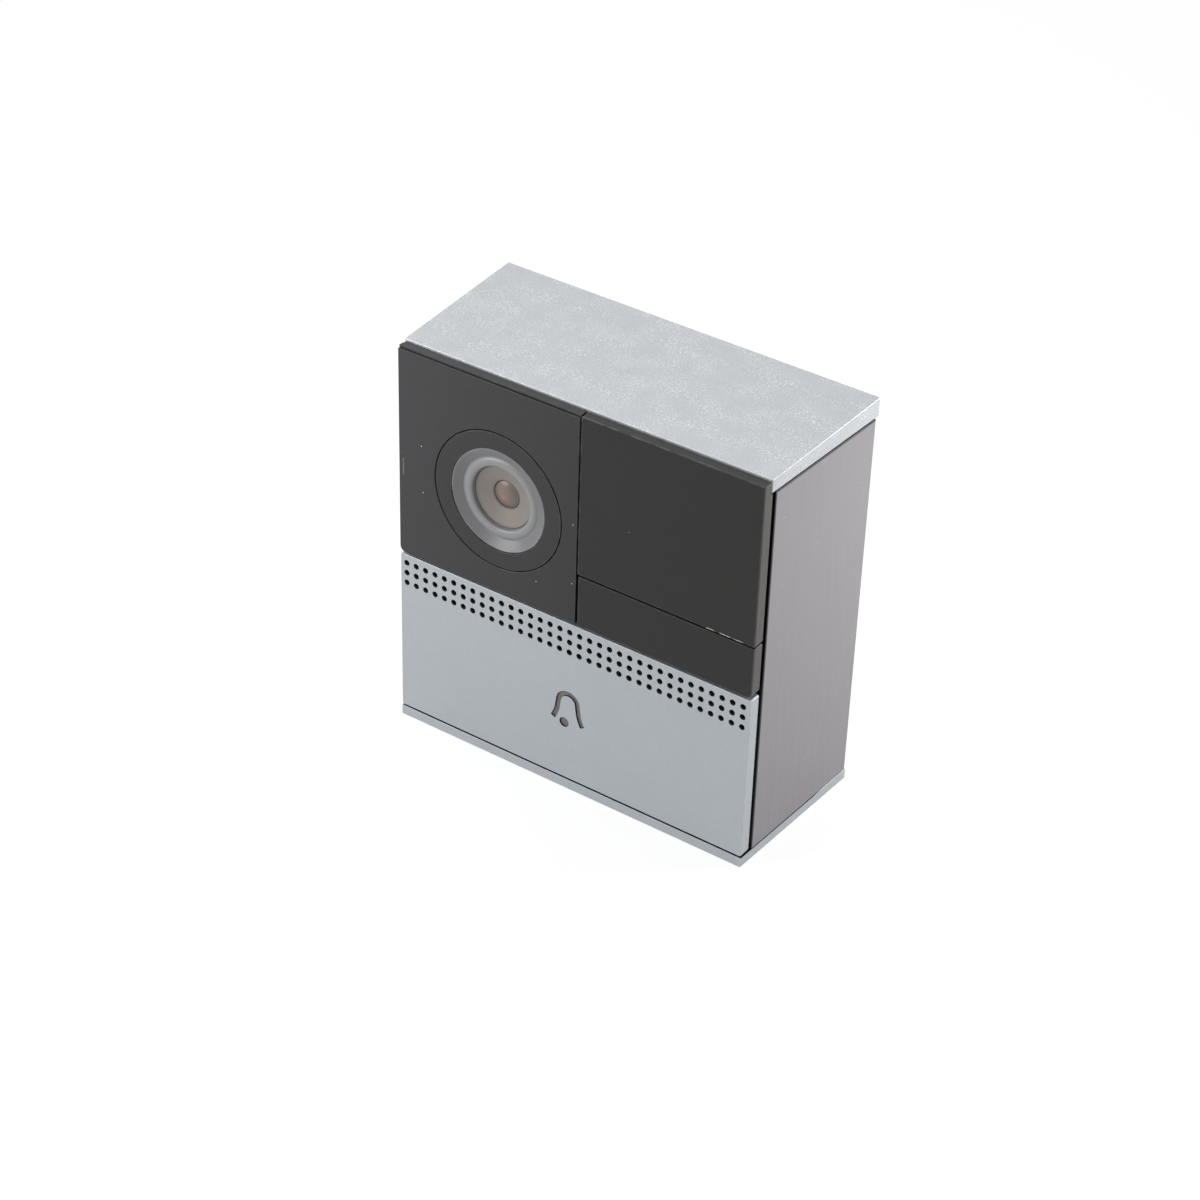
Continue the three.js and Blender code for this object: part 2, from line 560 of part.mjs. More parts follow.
function irWindow() {
  const left = SEAM_X + SEAM / 2 + 0.25;
  const face = slab(roundedRect(left, RIGHT, BLACK_Z0, STRIP_Z1, [0.4, 1.2, 0.4, 0.4]), 0, FRONT_T);
  return cut(face, box(left + 2.5, RIGHT - 2.5, SKIN_T, FRONT_T + 1, BLACK_Z0 + 2, STRIP_Z1 - 2));
}

// Centre line of the bell: two legs that lean out, splayed feet and a round top.
function bellLine() {
  const foot = new THREE.Vector2(3.42, -4.3);
  const ankle = new THREE.Vector2(2.6, -2.45);
  const points = [foot, ankle];
  const steps = 12;
  for (let i = 0; i <= steps; i += 1) {
    const angle = (Math.PI * i) / steps;
    points.push(new THREE.Vector2(BELL_R * Math.cos(angle), BELL_R * Math.sin(angle)));
  }
  points.push(new THREE.Vector2(-ankle.x, ankle.y), new THREE.Vector2(-foot.x, foot.y));
  return points;
}

function bellOutline(width) {
  const line = bellLine();
  const offset = (side) => line.map((point, i) => {
    const before = line[Math.max(i - 1, 0)];
    const after = line[Math.min(i + 1, line.length - 1)];
    const along = after.clone().sub(before).normalize();
    const out = new THREE.Vector2(along.y, -along.x).multiplyScalar((side * width) / 2);
    return point.clone().add(out).add(new THREE.Vector2(0, BELL_CENTRE_Z));
  });
  return new THREE.Shape([...offset(1), ...offset(-1).reverse()]);
}

const bellDot = (extra, y0, y1) => rodY(BELL_DOT_R + extra, y0, y1, -0.78, BELL_CENTRE_Z - 4.65, 20);

function bellLightGuide() {
  const flange = block(0, BELL_CENTRE_Z - 1, 10.4, 9.6, SKIN_T - 0.1, 2.4);
  const bell = slab(bellOutline(BELL_STROKE), BELL_SINK, SKIN_T + 0.2);
  return join(flange, bell, bellDot(0, BELL_SINK, SKIN_T + 0.2));
}

function grilleHoles() {
  const holes = [];
  const first = -((HOLE_COLUMNS - 1) / 2) * HOLE_PITCH;
  for (let row = 0; row < HOLE_ROWS; row += 1) {
    for (let column = 0; column < HOLE_COLUMNS; column += 1) {
      const z = PLATE_Z1 - HOLE_DROP - row * HOLE_PITCH;
      holes.push(rodY(HOLE_R, -1, SKIN_T + 0.1, first + column * HOLE_PITCH, z, 6));
    }
  }
  return wasm.Manifold.union(holes);
}

function buttonPlate() {
  const plateLeft = LEFT + 0.14;
  const skin = SKIN_T - 0.1;
  let plate = slab(roundedRect(plateLeft, RIGHT, PLATE_Z0, PLATE_Z1, 0.4), 0, FRONT_T);
  const hollow = box(plateLeft + RIM_T, RIGHT - RIM_T, skin, FRONT_T + 1, PLATE_Z0 + RIM_T, PLATE_Z1 - RIM_T);
  plate = cut(plate, hollow);
  plate = join(plate, rodY(POST_R, skin - 0.2, POST_END, 0, POST_Z, 16));
  for (const side of [-1, 1]) {
    plate = join(plate, hingeEar(side), rodY(1.5, skin - 0.2, FRONT_T, side * STOP_X, STOP_Z, 12));
    plate = cut(plate, rodX(PIVOT_R + 0.1, side * EAR_X - 2, side * EAR_X + 2, PIVOT_Y, PIVOT_Z));
  }
  const bellSlot = slab(bellOutline(BELL_STROKE + 0.1), -1, skin + 0.1);
  return cut(plate, grilleHoles(), bellSlot, bellDot(0.05, -1, skin + 0.1));
}

function hingeEar(side) {
  const x0 = side * EAR_X - EAR_T / 2;
  const x1 = side * EAR_X + EAR_T / 2;
  const arm = box(x0, x1, FRONT_T - 0.8, PIVOT_Y, PIVOT_Z - EAR_R, PIVOT_Z + EAR_R);
  const root = box(x0, x1, FRONT_T - 0.8, FRONT_T, PIVOT_Z, PLATE_Z1 - 0.4);
  return join(arm, root, rodX(EAR_R, x0, x1, PIVOT_Y, PIVOT_Z));
}

function acousticMesh() {
  const skin = SKIN_T - 0.1;
  const inner = RIGHT - RIM_T - FIT - 0.1;
  return box(-inner + 0.14, inner, skin, skin + 0.2, PLATE_Z1 - 8, PLATE_Z1 - RIM_T - FIT);
}

// ---------------------------------------------------------------- camera parts
function lensBezel() {
  const bead = [];
  const steps = 5;
  const half = CREST_R - DISC_R - 0.15;
  for (let i = 0; i <= steps; i += 1) {
    const angle = (Math.PI * i) / steps;
    bead.push([CREST_R + half * Math.cos(angle), 1.35 - 0.5 * Math.sin(angle)]);
  }
  const profile = [
    [BEZEL_R, SKIN_T + 0.05], [BEZEL_R, BEZEL_SEAT + 0.1], [BEZEL_R - 0.1, BEZEL_SEAT],
    [BEZEL_R - 0.25, BEZEL_SEAT], ...bead, [DISC_R + 0.15, FRONT_T - 0.05],
    [BEZEL_FLANGE_R, FRONT_T - 0.05], [BEZEL_FLANGE_R, SKIN_T + 0.05],
  ];
  return turned(profile, CAMERA_X, CAMERA_Z, 32);
}

function lensBarrel() {
  const bore = PUPIL_R + 0.1;
  const profile = [
    [DISC_R, DISC_SEAT + 0.1], [DISC_R - 0.1, DISC_SEAT], [DISC_R - 0.4, DISC_SEAT + 0.05],
    [bore, PUPIL_SEAT], [bore, BARREL_BACK], [BARREL_R, BARREL_BACK],
    [BARREL_R, FRONT_T], [DISC_R, FRONT_T - 0.1],
  ];
  return turned(profile, CAMERA_X, CAMERA_Z, 32);
}

function frontLens() {
  const profile = [[0, PUPIL_CROWN]];
  const steps = 4;
  const half = 0.5; // half the angle of the lens's round front
  const rise = 0.7;
  for (let i = 1; i <= steps; i += 1) {
    const angle = (i / steps) * half;
    const r = (PUPIL_R * Math.sin(angle)) / Math.sin(half);
    profile.push([r, PUPIL_CROWN + (rise * (1 - Math.cos(angle))) / (1 - Math.cos(half))]);
  }
  profile.push([PUPIL_R, 5.5], [0, 5.5]);
  return turned(profile, CAMERA_X, CAMERA_Z);
}

function lensHolder() {
  const x = CAMERA_X;
  const z = CAMERA_Z;
  const half = BARREL_R + 5.5;
  let body = block(x, z, 2 * half, 2 * half - 4, CHASSIS_BACK, HOLDER_BACK);
  body = join(body, block(x, z, 6, 2 * EAR_SCREW_REACH + 4.6, CHASSIS_BACK, CHASSIS_BACK + FOOT_T));
  for (const [dx, dz] of HOLDER_PINS) {
    const pin = rodY(STAKE_R, HOLDER_BACK - 1, HOLDER_BACK + BOARD_T + STAKE_END, x + dx, z + dz, 8);
    body = join(body, pin);
  }
  const bore = rodY(BARREL_R + FIT, 0, BARREL_BACK + 0.2, x, z, 32);
  const light = rodY(4, BARREL_BACK, 12, x, z);
  const filterSlot = block(x, z, 2 * half - 2, 8, ...FILTER_SLOT);
  const mouth = block(x + half, z, 4, 8, ...FILTER_SLOT);
  const sensorRoom = block(x, z, 10, 9, 11.6, HOLDER_BACK + 1);
  body = cut(body, bore, light, filterSlot, mouth, sensorRoom);
  for (const dz of [-EAR_SCREW_REACH, EAR_SCREW_REACH]) {
    body = cut(body, rodY(SCREW_R + FIT, 0, 9, x, z + dz, 8));
  }
  return body;
}

function irCutFilter() {
  const x = CAMERA_X - 3.7;
  const frame = block(x, CAMERA_Z, 12, 7.2, FILTER_SLOT[0] + 0.3, FILTER_SLOT[1] - 0.3);
  return cut(frame, block(x + 2.6, CAMERA_Z, 5, 5.4, FILTER_SLOT[1] - 0.55, FILTER_SLOT[1] + 0.1));
}

function cameraBoard() {
  let board = block(CAMERA_X, CAMERA_Z, 24, 20, HOLDER_BACK, HOLDER_BACK + BOARD_T);
  for (const [dx, dz] of HOLDER_PINS) board = cut(board, stakeHole(CAMERA_X + dx, CAMERA_Z + dz));
  return board;
}

const imageSensor = () => block(CAMERA_X, CAMERA_Z, 7, 6, HOLDER_BACK - 0.9, HOLDER_BACK);

// ---------------------------------------------------------------- sensors, switch and audio
function sensorBoard() {
  const x0 = SENSOR_X - 14;
  let board = box(x0, SENSOR_X + 12, SENSOR_BOARD_Y, SENSOR_BOARD_Y + BOARD_T, LIGHT_Z - 3, PIR_Z + 6);
  for (const [x, z] of sensorStakes()) board = cut(board, stakeHole(x, z));
  return board;
}

function pirSensor() {
  const profile = [
    [0, 4], [PIR_R - 0.5, 4], [PIR_R, 4.5], [PIR_R, SENSOR_BOARD_Y - 0.5],
    [PIR_R + 0.4, SENSOR_BOARD_Y - 0.5], [PIR_R + 0.4, SENSOR_BOARD_Y], [0, SENSOR_BOARD_Y],
  ];
  return cut(turned(profile, SENSOR_X, PIR_Z), block(SENSOR_X, PIR_Z, 4, 3, 3, 4.2));
}

function irLed(side) {
  const profile = [
    [0, 3.6], [1.3, 3.95], [2.2, 4.8], [LED_R, 6], [LED_R, SENSOR_BOARD_Y - 0.8],
    [LED_R + 0.25, SENSOR_BOARD_Y - 0.8], [LED_R + 0.25, SENSOR_BOARD_Y], [0, SENSOR_BOARD_Y],
  ];
  return turned(profile, SENSOR_X + side * LED_SPREAD, LED_Z, 20);
}

const lightSensor = () => block(SENSOR_X, LIGHT_Z, 2.4, 2.4, SENSOR_BOARD_Y - 1, SENSOR_BOARD_Y);

function buttonBoard() {
  const half = BUTTON_BOARD_HALF;
  let board = box(-half, half, SWITCH_BACK, SWITCH_BACK + BOARD_T, POST_Z - 4, POST_Z + 11);
  for (const [x, z] of buttonStakes()) board = cut(board, stakeHole(x, z));
  return board;
}

const tactSwitch = () => cut(
  block(0, POST_Z, SWITCH_SIZE, SWITCH_SIZE, SWITCH_FRONT, SWITCH_BACK),
  rodY(PLUNGER_R + FIT, 0, SWITCH_BACK - 0.5, 0, POST_Z, 20),
);
const tactPlunger = () => rodY(PLUNGER_R, POST_END + PLUNGER_GAP, SWITCH_BACK - 1.2, 0, POST_Z, 20);
const bellLed = () => block(0, BELL_CENTRE_Z - 1.5, 3.2, 2.8, SWITCH_BACK - 0.8, SWITCH_BACK);

// An outline with round ends, drawn in from the speaker's own by the given edge.
function racetrack(edge, y0, y1) {
  const halfW = SPEAKER_HALF_W - edge;
  const halfH = SPEAKER_HALF_H - edge;
  const [x, z] = [SPEAKER_X, SPEAKER_Z];
  return slab(roundedRect(x - halfW, x + halfW, z - halfH, z + halfH, halfH - 0.01), y0, y1, 6);
}

const speakerRod = (r, y0, y1) => rodY(r, y0, y1, SPEAKER_X, SPEAKER_Z, 24);

function speakerGasket() {
  return cut(racetrack(0, CHASSIS_BACK, SPEAKER_FRONT), racetrack(SPEAKER_WALL, 0, SPEAKER_BACK));
}

function speakerFrame() {
  const inside = racetrack(SPEAKER_WALL, 0, SPEAKER_BACK - 1);
  const coilHole = speakerRod(VOICE_R + 0.4, 9, SPEAKER_BACK + 1);
  return cut(racetrack(0, SPEAKER_FRONT, SPEAKER_BACK), inside, coilHole);
}

function speakerCone() {
  const sheet = racetrack(SPEAKER_WALL + 0.3, SPEAKER_FRONT + 0.9, SPEAKER_FRONT + 1.4);
  const former = speakerRod(VOICE_R, SPEAKER_FRONT + 1.2, SPEAKER_BACK - 0.9);
  return cut(join(sheet, former), speakerRod(VOICE_R - 0.4, SPEAKER_FRONT + 1.4, SPEAKER_BACK));
}

function speakerMagnet() {
  const pole = speakerRod(VOICE_R - 0.8, SPEAKER_FRONT + 2.2, SPEAKER_BACK + 0.5);
  return join(speakerRod(VOICE_R + 1.6, SPEAKER_BACK, SPEAKER_BACK + 3.3), pole);
}

function micBoot() {
  const [bore, seat, end] = [MIC_R + 0.1, CHASSIS_BACK + 1, CHASSIS_BACK + 3];
  const profile = [
    [0.8, CHASSIS_BACK], [MIC_BOOT_R, CHASSIS_BACK],
    [MIC_BOOT_R, end], [bore, end], [bore, seat], [0.8, seat],
  ];
  return turned(profile, MIC_X, MIC_Z, 20);
}
const microphone = () => rodY(MIC_R, CHASSIS_BACK + 1, CHASSIS_BACK + 3.6, MIC_X, MIC_Z, 20);

// ---------------------------------------------------------------- main board and rear
function mainBoard() {
  const [z0, z1] = [CAVITY_Z0 + 2.5, HOUSING_TOP - WALL - 2.5];
  let board = box(-BOARD_HALF, BOARD_HALF, MAIN_BOARD_Y, MAIN_BACK, z0, z1);
  for (const [x, z] of screwedPosts()) board = cut(board, rodY(SCREW_R + FIT, 0, DEPTH, x, z, 8));
  return board;
}

function ethernetJack() {
  const x0 = -WINDOW_HALF + 3;
  const x1 = x0 + JACK_W;
  const body = box(x0, x1, MAIN_BACK, CAVITY_BACK, WINDOW_Z0 + 3, WINDOW_Z0 + 16.5);
  const socket = box(x0 + 2.1, x1 - 2.1, MAIN_BACK + 2.5, DEPTH, WINDOW_Z0 + 5, WINDOW_Z0 + 12.5);
  const latch = box(x0 + 5, x1 - 5, MAIN_BACK + 2.5, DEPTH, WINDOW_Z0 + 12, WINDOW_Z0 + 14.5);
  return cut(body, socket, latch);
}

function terminalBlock() {
  const room = 2 * WINDOW_HALF - JACK_W - 11;
  const count = Math.floor(room / TERMINAL_PITCH);
  const x0 = WINDOW_HALF - 2 - count * TERMINAL_PITCH;
  const [z0, z1] = [WINDOW_Z0 + 3, WINDOW_Z0 + 13];
  let body = box(x0, x0 + count * TERMINAL_PITCH, MAIN_BACK, CAVITY_BACK - 1, z0, z1);
  for (let i = 0; i < count; i += 1) {
    const x = x0 + TERMINAL_PITCH * (i + 0.5);
    const entry = block(x, WINDOW_Z0 + 5.5, 3, 3, MAIN_BACK + 4, DEPTH);
    body = cut(body, entry, rodY(1.7, CAVITY_BACK - 2.5, DEPTH, x, WINDOW_Z0 + 10, 8));
  }
  return body;
}

const shieldCan = () => block(-14, CAVITY_Z0 + 17, 24, 20, MAIN_BOARD_Y - 1.8, MAIN_BOARD_Y);

function serviceSwitch(x, size, end, boreR) {
  const bore = rodY(boreR, atRear(0.13), end + 1, x, BUTTONS_Z);
  return cut(block(x, BUTTONS_Z, size, size, MAIN_BACK, end), bore);
}

function servicePlunger(x, stemR, stemY, headR, headY, end) {
  const stem = rodY(stemR, stemY, headY + 0.5, x, BUTTONS_Z);
  return join(stem, rodY(headR, headY, end, x, BUTTONS_Z, 20));
}

const resetSwitch = () => serviceSwitch(BUTTONS_X, 6, atRear(0.3), 1.8);
const resetButton = () => (
  servicePlunger(BUTTONS_X, 1.6, atRear(0.22), RESET_R, atRear(0.6), RECESS_FLOOR - 0.3)
);
const tamperSwitch = () => serviceSwitch(-BUTTONS_X, 7, atRear(0.51), 1.4);
const tamperPlunger = () => (
  servicePlunger(-BUTTONS_X, 1.1, atRear(0.25), TAMPER_R, atRear(0.72), TOTAL_DEPTH)
);

// ---------------------------------------------------------------- assembly
const assembly = new THREE.Group();
assembly.position.y = -TOTAL_DEPTH / 2;

function place(name, body, material) {
  const mesh = new THREE.Mesh(geometryOf(body), material);
  mesh.name = name;
  assembly.add(mesh);
}

place("base_plate", basePlate(), satinAluminium());
place("top_cap", topCap(), satinAluminium());
place("side_panel_left", sidePanel(-1), darkAnodised());
place("side_panel_right", sidePanel(1), darkAnodised());
place("rear_housing", rearHousing(), chassisBlack());
place("front_chassis", frontChassis(), chassisBlack());
place("wall_gasket", wallGasket(), rubber());
place("wall_bracket", wallBracket(), steel());
place("security_screw", securityScrew(), steel());

place("camera_fascia", cameraFascia(), blackAbs());
place("camera_tray", cameraTray(), blackAbs());
place("camera_ring", cameraRing(), blackAbs());
place("pir_window", pirWindow(), infraredPlastic());
place("ir_window", irWindow(), infraredPlastic());

place("button_plate", buttonPlate(), satinAluminium());
place("bell_light_guide", bellLightGuide(), smokedGuide());
place("acoustic_mesh", acousticMesh(), rubber());
place("button_pivot_pin_left", pivotPin(-1), steel());
place("button_pivot_pin_right", pivotPin(1), steel());
place("button_stop_left", buttonStop(-1), rubber());
place("button_stop_right", buttonStop(1), rubber());
place("button_board", buttonBoard(), circuitBoard());
place("tact_switch", tactSwitch(), component());
place("tact_plunger", tactPlunger(), component());
place("bell_led", bellLed(), greyBezel());

place("lens_bezel", lensBezel(), greyBezel());
place("lens_barrel", lensBarrel(), barrelGrey());
place("front_lens", frontLens(), glass());
place("lens_holder", lensHolder(), component());
place("ir_cut_filter", irCutFilter(), glass());
place("image_sensor", imageSensor(), component());
place("camera_board", cameraBoard(), circuitBoard());

place("sensor_board", sensorBoard(), circuitBoard());
place("pir_sensor", pirSensor(), steel());
place("ir_led_left", irLed(-1), glass());
place("ir_led_right", irLed(1), glass());
place("light_sensor", lightSensor(), component());

place("speaker_gasket", speakerGasket(), rubber());
place("speaker_frame", speakerFrame(), component());
place("speaker_cone", speakerCone(), component());
place("speaker_magnet", speakerMagnet(), steel());
place("mic_boot", micBoot(), rubber());
place("microphone", microphone(), steel());

place("main_board", mainBoard(), circuitBoard());
place("shield_can", shieldCan(), steel());
place("ethernet_jack", ethernetJack(), steel());
place("terminal_block", terminalBlock(), greenNylon());
place("reset_switch", resetSwitch(), component());
place("reset_button", resetButton(), component());
place("tamper_switch", tamperSwitch(), component());
place("tamper_plunger", tamperPlunger(), component());

[[-1, CORNER_Z0], [1, CORNER_Z0], [-1, CORNER_Z1], [1, CORNER_Z1]].forEach(([side, z], i) => {
  const screw = screwY(side * CORNER_X, z, CHASSIS_BACK - 0.6, CORNER_END - 3, LOW_HEAD_T);
  place(`chassis_screw_${i + 1}`, screw, steel());
});
[-EAR_SCREW_REACH, EAR_SCREW_REACH].forEach((dz, i) => {
  const [seat, tip] = [CHASSIS_BACK + FOOT_T, CHASSIS_BACK - 1.6];
  const screw = screwFromBehind(CAMERA_X, CAMERA_Z + dz, seat, tip, HEAD_T);
  place(`lens_holder_screw_${i + 1}`, screw, steel());
});
screwedPosts().forEach(([x, z], i) => {
  place(`main_board_screw_${i + 1}`, screwY(x, z, MAIN_BOARD_Y, MAIN_BACK + 5.4, HEAD_T), steel());
});

export default assembly;
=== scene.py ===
# %% [markdown]
# # A video doorbell
# The real object is a flat square case that is screwed to a wall beside a door. Its front is made of
# separate blocks: a camera block, two dark windows for the motion sensor and the infrared lamps, and
# a wide metal plate that is pressed to ring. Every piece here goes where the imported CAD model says,
# so the first step loads that model and keeps its box.

# %% Load the frame
import json
import math

import bmesh
import bpy
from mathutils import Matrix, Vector


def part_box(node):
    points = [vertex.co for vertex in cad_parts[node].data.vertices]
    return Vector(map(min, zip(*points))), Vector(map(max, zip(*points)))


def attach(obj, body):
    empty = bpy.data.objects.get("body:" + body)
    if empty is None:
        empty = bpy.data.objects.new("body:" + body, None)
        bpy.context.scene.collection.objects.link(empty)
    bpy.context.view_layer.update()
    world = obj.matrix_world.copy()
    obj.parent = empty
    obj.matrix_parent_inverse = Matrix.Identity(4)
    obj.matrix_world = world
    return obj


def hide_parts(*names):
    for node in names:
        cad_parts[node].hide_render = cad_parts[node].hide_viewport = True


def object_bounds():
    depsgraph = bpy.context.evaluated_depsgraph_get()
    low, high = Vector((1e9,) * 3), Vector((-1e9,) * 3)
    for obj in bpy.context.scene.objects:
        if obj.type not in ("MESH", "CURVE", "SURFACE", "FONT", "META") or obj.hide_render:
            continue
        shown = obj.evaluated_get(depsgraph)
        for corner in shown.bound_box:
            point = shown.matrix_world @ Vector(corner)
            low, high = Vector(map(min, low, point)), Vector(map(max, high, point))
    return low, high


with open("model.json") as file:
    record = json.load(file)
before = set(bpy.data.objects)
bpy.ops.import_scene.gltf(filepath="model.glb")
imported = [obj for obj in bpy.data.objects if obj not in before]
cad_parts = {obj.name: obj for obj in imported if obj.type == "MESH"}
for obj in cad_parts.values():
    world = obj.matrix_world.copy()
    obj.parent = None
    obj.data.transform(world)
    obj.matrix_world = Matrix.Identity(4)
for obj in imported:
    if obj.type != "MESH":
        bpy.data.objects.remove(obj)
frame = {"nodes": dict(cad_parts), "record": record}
cad_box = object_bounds()
MM = 0.001
FRONT = cad_box[0].y  # the front face of the case
print("case, mm:", [round((high - low) / MM, 1) for low, high in zip(*cad_box)])

# %% [markdown]
# The camera comes first, so that every later choice can be judged in its view. The case is seen from
# above and from its right, with a long lens that keeps the upright edges nearly parallel.

# %% Camera
SENSOR = 36
LENS = 91.3


def make_camera():
    data = bpy.data.cameras.new("camera")
    data.sensor_width = SENSOR
    data.lens = LENS
    data.clip_start = 0.01
    camera = bpy.data.objects.new("camera", data)
    camera.location = (0.26375, -0.39872, 0.3618)
    camera.rotation_euler = [math.radians(angle) for angle in (55.531, -1.548, 35.117)]
    bpy.context.scene.collection.objects.link(camera)
    bpy.context.scene.camera = camera


make_camera()
print("camera lens", LENS, "mm")

# %% [markdown]
# One small function adds a node to any tree, sets its values and joins its inputs. Shader trees and
# Geometry Nodes trees are both built with it. Colours are written as the sRGB hex values that a
# paint chart gives, and one function turns them to the linear numbers that Blender works in.

# %% Nodes and colours


def add(tree, kind, settings=None, links=None):
    made = tree.nodes.new(kind)
    for key, value in (settings or {}).items():
        if isinstance(key, int) or key in made.inputs:
            made.inputs[key].default_value = value
        else:
            setattr(made, key, value)
    for key, source in (links or {}).items():
        tree.links.new(source, made.inputs[key])
    return made


def linear(colour):
    channels = [int(colour[i:i + 2], 16) / 255 for i in (1, 3, 5)]
    return [c / 12.92 if c <= 0.04045 else ((c + 0.055) / 1.055) ** 2.4 for c in channels] + [1]


print("mid grey is", round(linear("#808080")[0], 3))

# %% [markdown]
# A finish starts as a plain shader with the colour, roughness and IOR of the real material. Small
# functions then add what the eye reads as that material: a fine grain in the surface, edges that are
# rubbed lighter, and a few specks of dust. One more lets a colour drift, and here it is used for
# painted light. They all work on Object coordinates, so a pattern's size is a real size in millimetres.

# %% Finishes: the shared steps


def start_finish(name, colour, roughness, metallic=0.0, ior=1.5):
    material = bpy.data.materials.new(name)
    material.use_nodes = True
    tree = material.node_tree
    shader = tree.nodes["Principled BSDF"]
    shader.inputs["Base Color"].default_value = linear(colour)
    shader.inputs["Roughness"].default_value = roughness
    shader.inputs["Metallic"].default_value = metallic
    shader.inputs["IOR"].default_value = ior
    place = add(tree, "ShaderNodeTexCoord").outputs["Object"]
    return {"material": material, "tree": tree, "shader": shader, "place": place, "base": linear(colour),
            "colour": None}


def tinted(finish, mask, colour):
    """The finish turns to another colour where the mask is 1."""
    below = {6: finish["colour"]} if finish["colour"] else {}
    mixed = add(finish["tree"], "ShaderNodeMix", {"data_type": "RGBA", 6: finish["base"], 7: linear(colour)},
                {0: mask, **below})
    finish["colour"] = mixed.outputs[2]
    finish["tree"].links.new(mixed.outputs[2], finish["shader"].inputs["Base Color"])


def flat_place(finish, across, up):
    """Two of the three coordinates, for a pattern that lies on one side of the case."""
    apart = add(finish["tree"], "ShaderNodeSeparateXYZ", {}, {0: finish["place"]}).outputs
    return add(finish["tree"], "ShaderNodeCombineXYZ", {}, {0: apart[across], 1: apart[up]}).outputs[0]


def from_axis(finish, x, z):
    """Distance in metres from a line that runs from front to back."""
    tree = finish["tree"]
    return add(tree, "ShaderNodeVectorMath", {"operation": "DISTANCE", 1: (x * MM, z * MM, 0)},
               {0: flat_place(finish, "X", "Z")}).outputs["Value"]


def noise(finish, size_mm, detail=2, stretch=(1, 1, 1)):
    """Soft random values whose spots are about this many millimetres across."""
    tree = finish["tree"]
    placed = add(tree, "ShaderNodeMapping", {"Scale": stretch}, {"Vector": finish["place"]})
    return add(tree, "ShaderNodeTexNoise", {"Scale": 1 / (size_mm * MM), "Detail": detail},
               {"Vector": placed.outputs[0]}).outputs[0]


def between(finish, value, low, high, out_low=0.0, out_high=1.0):
    """A value in low..high, spread over out_low..out_high and kept inside it."""
    settings = {"From Min": low, "From Max": high, "To Min": out_low, "To Max": out_high}
    return add(finish["tree"], "ShaderNodeMapRange", settings, {"Value": value}).outputs[0]


def product(finish, first, second):
    return add(finish["tree"], "ShaderNodeMath", {"operation": "MULTIPLY"}, {0: first, 1: second}).outputs[0]


def drift(finish, axis, start_mm, end_mm, colour):
    """The colour changes evenly from one place to another along one direction."""
    apart = add(finish["tree"], "ShaderNodeSeparateXYZ", {}, {0: finish["place"]}).outputs
    tinted(finish, between(finish, apart[axis], start_mm * MM, end_mm * MM), colour)


def mottled(finish, colour, size_mm, low=0.45, high=0.75, amount=1.0):
    tinted(finish, between(finish, noise(finish, size_mm), low, high, 0, amount), colour)


def grained(finish, size_mm, height_mm, rough_low, rough_high, stretch=(1, 1, 1)):
    """A fine relief, and a gloss that follows it."""
    tree, grain = finish["tree"], noise(finish, size_mm, 3, stretch)
    gloss = between(finish, grain, 0.3, 0.7, rough_low, rough_high)
    tree.links.new(gloss, finish["shader"].inputs["Roughness"])
    relief = add(tree, "ShaderNodeBump", {"Strength": 0.6, "Distance": height_mm * MM}, {"Height": grain})
    tree.links.new(relief.outputs[0], finish["shader"].inputs["Normal"])


def edge_mask(finish, radius_mm):
    """1 on the edges of a piece, where a rounded normal differs from the real one."""
    tree = finish["tree"]
    rounded_normal = add(tree, "ShaderNodeBevel", {"samples": 4, "Radius": radius_mm * MM}).outputs[0]
    real = add(tree, "ShaderNodeNewGeometry").outputs["True Normal"]
    same = add(tree, "ShaderNodeVectorMath", {"operation": "DOT_PRODUCT"}, {0: rounded_normal, 1: real})
    return between(finish, same.outputs["Value"], 0.998, 0.95)


def worn_edges(finish, colour, radius_mm=0.2, amount=0.6):
    """Edges turn lighter, in patches a few millimetres long, as handling leaves them."""
    patches = between(finish, noise(finish, 2.5, 4), 0.38, 0.62, 0.15, 1)
    mask = product(finish, edge_mask(finish, radius_mm), patches)
    tinted(finish, between(finish, mask, 0, 1, 0, amount), colour)


def dusted(finish, colour, spacing_mm, radius_mm, share=0.12, side=("X", "Z")):
    """A few specks: some cells of a random pattern get a dot at their middle."""
    tree = finish["tree"]
    cells = add(tree, "ShaderNodeTexVoronoi", {"voronoi_dimensions": "2D", "Scale": 1 / (spacing_mm * MM)},
                {"Vector": flat_place(finish, *side)})
    reach = radius_mm / spacing_mm
    dot = between(finish, cells.outputs["Distance"], reach, reach * 0.5)
    chosen = between(finish, add(tree, "ShaderNodeSeparateColor", {}, {0: cells.outputs["Color"]}).outputs[0],
                     share, share * 0.98)
    tinted(finish, product(finish, dot, chosen), colour)


def box_mask(finish, low, high, soft_mm=0.1):
    """1 inside a box given by two corners in metres; None leaves a direction open."""
    tree = finish["tree"]
    apart = add(tree, "ShaderNodeSeparateXYZ", {}, {0: finish["place"]})
    mask = None
    for axis in range(3):
        if low[axis] is None:
            continue
        soft = soft_mm * MM
        inside = product(finish, between(finish, apart.outputs[axis], low[axis] - soft, low[axis]),
                         between(finish, apart.outputs[axis], high[axis] + soft, high[axis]))
        mask = inside if mask is None else product(finish, mask, inside)
    return mask


print("the finishing steps are ready")
